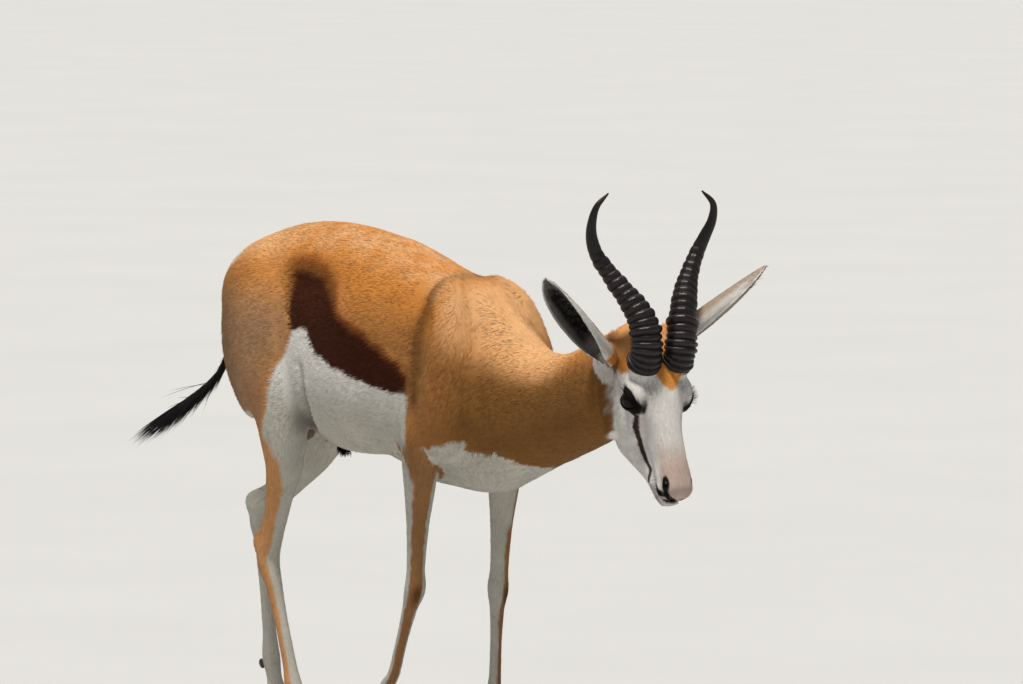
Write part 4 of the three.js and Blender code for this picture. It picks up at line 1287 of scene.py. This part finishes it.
for s in (1, -1):
    make_eye(s)
    make_horn(s)
    for legs, names in ((FORELEGS, FORE_NAMES), (HINDLEGS, HIND_NAMES)):
        make_hoof(s, legs[s], 1, names[s] + "_hoof_outer")
        make_hoof(s, legs[s], -1, names[s] + "_hoof_inner")


# Coat: closed three-sided tufts that lie along the skin


def sampled(me, density):
    """Places on the skin, drawn in proportion to area and to density, in tufts per square mm."""
    me.calc_loop_triangles()
    tri = read(me.loop_triangles, "vertices", 3, np.int64)
    p, n = skin_points[tri], skin_normals[tri]
    area = np.linalg.norm(np.cross(p[:, 1] - p[:, 0], p[:, 2] - p[:, 0]), axis=1) / 2
    want = area * density[tri].mean(1)
    count = rng.poisson(want)
    pick = np.repeat(np.arange(len(tri)), count)
    u, v = rng.random((2, len(pick)))
    flip = u + v > 1
    u, v = np.where(flip, 1 - u, u), np.where(flip, 1 - v, v)
    mixed = lambda q: q[pick, 0] * (1 - u - v)[:, None] + q[pick, 1] * u[:, None] + q[pick, 2] * v[:, None]
    return mixed(p), unit(mixed(n))


def coat_sizes(p):
    """Rows for the tufts at points p: length and width in mm, lift as a slope, tufts per square mm."""
    h = to_head(p)
    (x, y, z), (hx, hy, hz) = p.T, h.T
    rows = lambda *values: np.stack(np.broadcast_arrays(*values, x)[:4])
    belly, fine = 1 - ramp(z, 470, 560), ramp(hx, 60, 170)
    sizes = rows(11.0 - 3 * belly, 1.1, 0.05 - 0.01 * belly, 0.105)
    sizes = crossfade(sizes, rows(6.0, 0.9, 0.05, 0.14), ramp(470 - z, 0, 140))
    head = ramp(hx, -90, -20) * (x > 540) * ramp(hz, -130, -90)
    head = np.maximum(head, (hx > 60) * (x > 540))
    sizes = crossfade(sizes, rows(6.0 - 2.5 * fine, 0.8 - 0.25 * fine, 0.06, 0.25), head)
    sizes[[0, 2]] += [[2.5], [0.02]] * (head * ramp(-hx, 0, 30) * ramp(hz, -45, -20))
    for s in (1, -1):
        along, across, out = lid_place(h, s)
        bare = (lid_edge(along, across) < 2.2) & (out > -14) & (np.hypot(along, across) < 24)
        sizes[3, bare | (nearest_on(NOSTRIL_PATH * [1, s, 1], h)[0] < 5.5)] = 0
        ear, share, across, depth = on_ear(s, h, 0.12, -3, 6)
        sizes = np.where(ear, rows(5.0, 0.9, 0.08, 0.22), sizes)
        lining = ear & (depth > 1.2) & (across < -0.2) & (share < 0.88)
        sizes = np.where(lining, rows(13.0, 0.7, 0.22, 0.22), sizes)
    pad = (hx > 182) & (hz > -44) & (np.abs(hy) < 13)
    lips = (np.abs(hz - curve(MOUTH_LINE, hx)) < 2) & (hx > 132)
    sizes[3, (pad | lips) & (x > 540)] = 0
    for legs in (FORELEGS, HINDLEGS):
        for side, leg in legs.items():
            cx, cz = coronet_of(leg)
            sizes[3, (z < cz + 0.5) & (np.abs(x - cx) < 45) & (y * side > 0)] = 0
    return sizes


TUFT_FACES = [(0, 2, 1), (0, 1, 3), (1, 4, 3), (1, 2, 4), (2, 5, 4), (2, 0, 5), (0, 3, 5)]
TUFT_FACES += [(3, 4, 6), (4, 5, 6), (5, 3, 6)]
TUFT_CHART = table((-1, -1), (1, -1), (0, -1), (-1, 0), (1, 0), (0, 0), (0, 1)) * 0.0015


def tufts(name, roots, normals, lies, length, width, lift, marks, tints, chart):
    """One piece of many closed tufts: a root triangle, a middle triangle and a tip, ten faces each."""
    side = np.cross(normals, lies)
    steps = []
    for share, wide, tall, sunk in ((0.0, 1.0, 0.12, 0.5), (0.5, 0.86, 0.10, 0)):
        rise = lift * length * (share * (1.6 - 0.75 * share)) - sunk
        middle = roots + lies * (length * share)[:, None] + normals * rise[:, None]
        half = (width * wide / 2)[:, None]
        steps += [middle - side * half, middle + side * half, middle + normals * (width * tall)[:, None]]
    tip = roots + lies * length[:, None] + normals * (lift * length * 0.85)[:, None]
    me = clump(name, np.stack([*steps, tip], 1), TUFT_FACES, marks, tints, chart, TUFT_CHART)
    finish_piece(link(name, me), "coat", "coat")
    facing = [normals - 0.35 * side, normals + 0.35 * side, normals] * 2 + [normals + 0.2 * lies]
    me.normals_split_custom_set_from_vertices(unit(np.stack(facing, 1)).reshape(-1, 3).tolist())


def clump(name, verts, faces, marks, tints, chart, patch):
    """The mesh of many hairs of one build, each with its own colour, tint and place on the chart."""
    count, points = verts.shape[:2]
    tris = (np.array(faces)[None] + points * np.arange(count)[:, None, None]).reshape(-1, 3)
    me = bpy.data.meshes.new(name)
    me.vertices.add(count * points)
    me.vertices.foreach_set("co", np.asarray(to_row(verts.reshape(-1, 3)), np.float32).ravel())
    me.loops.add(tris.size)
    me.loops.foreach_set("vertex_index", tris.astype(np.int32).ravel())
    me.polygons.add(len(tris))
    me.polygons.foreach_set("loop_start", np.arange(0, tris.size, 3, dtype=np.int32))
    me.update(calc_edges=True)
    add_attribute(me, "marks", "FLOAT_COLOR", np.repeat(marks, points, 0))
    add_attribute(me, "tint", "FLOAT", np.repeat(tints, points))
    places = (chart[:, None] + patch[None]).reshape(-1, 2)[tris.ravel()]
    me.uv_layers.new(name="OFBake").data.foreach_set("uv", np.asarray(places, np.float32).ravel())
    return me


def strands(name, lines, width, shade, slot="coat", material="coat", replaces=()):
    """One piece of long closed hairs, each three-sided and drawn along a row of points to a fine tip."""
    count, steps = lines.shape[:2]
    ahead = unit(np.gradient(lines, axis=1))
    side = unit(np.cross(ahead, np.array([0.31, 0.17, 0.93])))
    over = np.cross(side, ahead)
    share = np.linspace(0, 1, steps)[:-1]
    half = np.asarray(width, float).reshape(-1, 1, 1) / 2 * (1 - share**2 * 0.8)[None, :, None]
    turn = np.radians([0, 120, 240])
    rings = [lines[:, :-1] + half * (side[:, :-1] * math.cos(t) + over[:, :-1] * math.sin(t)) for t in turn]
    verts = np.concatenate([np.stack(rings, 2).reshape(count, -1, 3), lines[:, -1:]], 1)
    last = 3 * (steps - 1)
    faces = [(0, 2, 1)]
    for a in range(last):
        b = a - 2 if a % 3 == 2 else a + 1
        faces += [(a, b, last)] if a >= last - 3 else [(a, b, a + 3), (b, b + 3, a + 3)]
    tints = rng.uniform(0.2, 0.8, count)
    chart = 0.02 + 0.94 * np.stack([np.arange(count) / count, rng.random(count)], -1)
    patch = np.stack([np.arange(last + 1) % 3 / 2, np.arange(last + 1) / last], -1) * 0.003
    me = clump(name, verts, faces, np.broadcast_to(shade, (count, 3)), tints, chart, patch)
    finish_piece(link(name, me), material, slot, *replaces)


def drooping(roots, ways, length, sag, steps=6):
    """Rows of points from each root along its way, sinking by sag at the tip."""
    share = np.linspace(0, 1, steps)
    length, sag = (np.broadcast_to(v, len(roots)).reshape(-1, 1, 1) for v in (length, sag))
    out = roots[:, None] + unit(ways)[:, None] * (length * share[None, :, None])
    return out - np.array([0, 0, 1.0]) * (sag * share[None, :, None] ** 2)


def grow_tail():
    """Hairs along the tail's core, short and white at its root, then long and black in a loose brush."""
    draw = np.random.default_rng(SEED + 5)
    count = TAIL_HAIRS
    where = 0.14 + 0.86 * draw.random(count) ** 0.75
    middle, ahead = on_tail_path(TAIL_PATH, where), unit(on_tail_path(TAIL_WAYS, where))
    out = draw.normal(size=(count, 3))
    out = unit(out - ahead * (out * ahead).sum(1, keepdims=True))
    radius = on_tail_path(np.array(TAIL_RADII)[:, None], where) * 0.5
    late = ramp(where, 0.5, 1.0)
    length = (13 + 84 * late) * draw.uniform(0.3, 1.25, count)
    ways = ahead + out * (0.09 - 0.07 * late[:, None] + 0.03 * draw.random((count, 1)))
    loose = draw.random(count) < 0.02
    ways = ways + draw.normal(0, 0.22, (count, 3)) * loose[:, None]
    lines = drooping(middle + out * radius, ways, length, length * draw.uniform(0.03, 0.11, count))
    black = ramp(where + 0.03 * draw.normal(size=count), 0.36, 0.46)
    shade = blend(WHITE, SOOT * 0.8, black)
    strands("tail_hairs", lines, 0.5 + 0.5 * late, shade, "tail_hair", "tail", ["tail"])


def grow_fine_hairs():
    """Eyelashes, whiskers and the dark tuft under the belly."""
    draw = np.random.default_rng(SEED + 6)
    count = LASHES
    put = lambda a, b, o: np.stack([LID_COS * a - LID_SIN * b, o, LID_SIN * a + LID_COS * b], -1)
    for s in (1, -1):
        along = np.linspace(-13, 15, count) + draw.normal(0, 0.4, count)
        across = LID_RISE * (1 - (along / LID_HALF) ** 2) ** 0.8 + 0.6
        out = np.sqrt(np.clip((EYE_R + 1) ** 2 - along**2 - across**2, 0, None))
        roots = (put(along, across, out) + EYE_AT) * [1, s, 1]
        ways = put(along * 0.05, np.full(count, 0.55), np.full(count, 1.0)) * [1, s, 1]
        ways = ways + draw.normal(0, 0.12, (count, 3))
        lines = drooping(from_head(roots), ways @ HEAD_TURN.T, draw.uniform(6, 10, count), -1.5)
        strands("lashes_" + SIDES[s], lines, 0.55, SOOT)
    count = WHISKERS
    s = np.where(np.arange(count) % 2, 1, -1)
    x = draw.uniform(150, 182, count)
    roots = np.stack([x, s * (21 - 0.25 * (x - 160)), draw.uniform(-44, -34, count)], -1)
    ways = np.stack([draw.uniform(-0.1, 0.5, count), s, draw.uniform(-0.6, 0.0, count)], -1)
    lines = drooping(from_head(roots), ways @ HEAD_TURN.T, draw.uniform(8, 22, count), 2)
    strands("whiskers", lines, 0.4, SOOT * 1.5)
    count = BELLY_HAIRS
    x, y = draw.uniform(-110, -92, count), draw.normal(0, 3.5, count)
    roots = np.stack([x, y, draw.uniform(446, 450, count)], -1)
    ways = np.array([0.25, 0, -1]) + draw.normal(0, 0.22, (count, 3))
    strands("belly_tuft", drooping(roots, ways, draw.uniform(10, 21, count), 1), 1.1, CHOCOLATE * 0.5)


def make_dewclaws():
    """The two small claws behind each fetlock, in one piece."""
    claws = Shape()
    for legs in (FORELEGS, HINDLEGS):
        for s, leg in legs.items():
            x, z = leg["fetlock"]
            for off in (-8, 8):
                claws.ball((x - 14, s * leg["stance"] + off, z - 9), (5.5, 4, 8), pitch=-25, detail=16)
    finish_piece(claws.mesh("dewclaws"), "hoof", "horn")


# Pieces of the coat: the trunk from rear to front, then the legs, then the two sides of the head
REGIONS = ["rump", "croup", "loin", "flank", "ribs", "shoulder", "neck_base", "neck"]
TRUNK_CUTS = [-215, -110, -10, 90, 185, 300, 440]
HIND, FORE, HEAD = 8, 10, 12
REGIONS += [HIND_NAMES[1], HIND_NAMES[-1], FORE_NAMES[1], FORE_NAMES[-1], "head_left", "head_right"]


def region_of(p):
    h = to_head(p)
    x, y, z = p.T
    region = np.digitize(x, TRUNK_CUTS)
    region = np.where((z < 455) & (x < 20), HIND + (y <= 0), region)
    region = np.where((z < 455) & (x >= 20) & (x < 330), FORE + (y <= 0), region)
    return np.where((h[:, 0] > -90) & (x > 540), HEAD + (h[:, 1] <= 0), region)


def chart_of(region, p, n):
    """Each root's place on an unwrap of its region's shape: along it and round it, filling the square."""
    h = to_head(p)
    x, y, z = p.T
    if region < HIND:
        along, round_ = x, np.arctan2(y, z - np.interp(x, BODY_LINE[:, 0], BODY_LINE[:, 3]))
    elif region < HEAD:
        along, round_ = z, np.arctan2(n[:, 1], n[:, 0])
    else:
        along = h[:, 0] + 0.4 * np.abs(h[:, 1])
        round_ = np.arctan2(h[:, 1] * (1 if region == HEAD else -1), h[:, 2] + 55)
    uv = np.stack([along, round_], -1)
    low, high = uv.min(0), uv.max(0)
    return 0.02 + 0.96 * (uv - low) / (high - low)


def combed(roots, normals, spread, seed):
    """The lie at each root, turned a little in the skin, in soft waves and tuft by tuft."""
    draw = np.random.default_rng(seed)
    lies = lie_of(roots, normals)
    side = np.cross(normals, lies)
    turn = draw.normal(0, spread, len(roots)) + 0.05 * speckle(roots, 26, seed + 1)
    return lies * np.cos(turn)[:, None] + side * np.sin(turn)[:, None]


def grow_coat():
    roots, normals = sampled(skin.data, coat_sizes(skin_points)[3])
    sizes = coat_sizes(roots)
    keep = sizes[3] > 0
    roots, normals, (length, width, lift) = roots[keep], normals[keep], sizes[:3, keep]
    count = len(roots)
    draw = np.random.default_rng(SEED + 1)
    length = length * draw.uniform(0.7, 1.2, count)
    width = width * draw.uniform(0.75, 1.2, count)
    lift = lift * draw.uniform(0.6, 1.35, count) * np.where(draw.random(count) < 0.06, 3.5, 1)
    tints = np.clip(0.5 + 0.14 * draw.normal(size=count) + 0.16 * speckle(roots * [0.5, 1, 1], 9, 71), 0, 1)
    lies, marks = combed(roots, normals, 0.06, 81), markings(roots, normals)
    fields = (roots, normals, lies, length, width, lift, marks, tints)
    regions = region_of(roots)
    for region, name in enumerate(REGIONS):
        mine = regions == region
        if mine.any():
            tufts("coat_" + name, *(v[mine] for v in fields), chart_of(region, roots[mine], normals[mine]))


grow_coat()
grow_tail()
grow_fine_hairs()
make_dewclaws()


# Stage, lights and camera

PHOTO_W, CAM_FOCAL_PX = 1023, 7980
CAM_AZIMUTH, CAM_RISE, CAM_FAR = 50, 4, 12.0
CAM_TARGET = np.array([88.9, 171.7, 604.5])
FLOOR_REACH, FLOOR_DEPTH = 60000, 50


def place_facing(ob, target, far, azimuth, rise):
    """Puts a camera or light far from the target it faces, by degrees round from -Y and over the horizon."""
    a, e = math.radians(azimuth), math.radians(rise)
    back = Vector((math.sin(a) * math.cos(e), -math.cos(a) * math.cos(e), math.sin(e)))
    ob.location = target + back * far
    ob.rotation_mode = "QUATERNION"
    ob.rotation_quaternion = (-back).to_track_quat("-Z", "Y")


def make_camera():
    data = bpy.data.cameras.new("camera")
    data.sensor_width = 36
    data.lens = CAM_FOCAL_PX / PHOTO_W * data.sensor_width
    data.clip_end = 500
    cam = link("camera", data)
    place_facing(cam, Vector(to_row(CAM_TARGET)), CAM_FAR, CAM_AZIMUTH, CAM_RISE)
    bpy.context.scene.camera = cam


def sun(name, azimuth, rise, power, width, tone):
    """A wide far light. Its angles are in degrees, as the camera's are counted."""
    data = bpy.data.lights.new(name, "SUN")
    data.energy, data.angle, data.color = power, math.radians(width), tone
    place_facing(link(name, data), Vector(), 4, azimuth, rise)


def make_stage():
    floor = Shape()
    angle, deep = circle(96), np.array([0, 0, -FLOOR_DEPTH])
    ring = np.stack([np.cos(angle), np.sin(angle), np.zeros(96)], -1) * FLOOR_REACH
    floor.skin_over(np.array([ring, ring + deep]), np.zeros(3), deep)
    ob = floor.mesh("floor")
    ob.data.materials.append(floor_material())
    world = bpy.data.worlds.new("studio")
    world.use_nodes = True
    light = world.node_tree.nodes["Background"].inputs
    light["Color"].default_value, light["Strength"].default_value = (0.86, 0.88, 0.92, 1), 0.3
    bpy.context.scene.world = world
    sun("key", 28, 75, 3.8, 12, (1, 0.96, 0.90))
    sun("sky", 220, 50, 0.3, 50, (0.92, 0.96, 1))
    bpy.context.scene.view_settings.view_transform = "Standard"


make_camera()
make_stage()
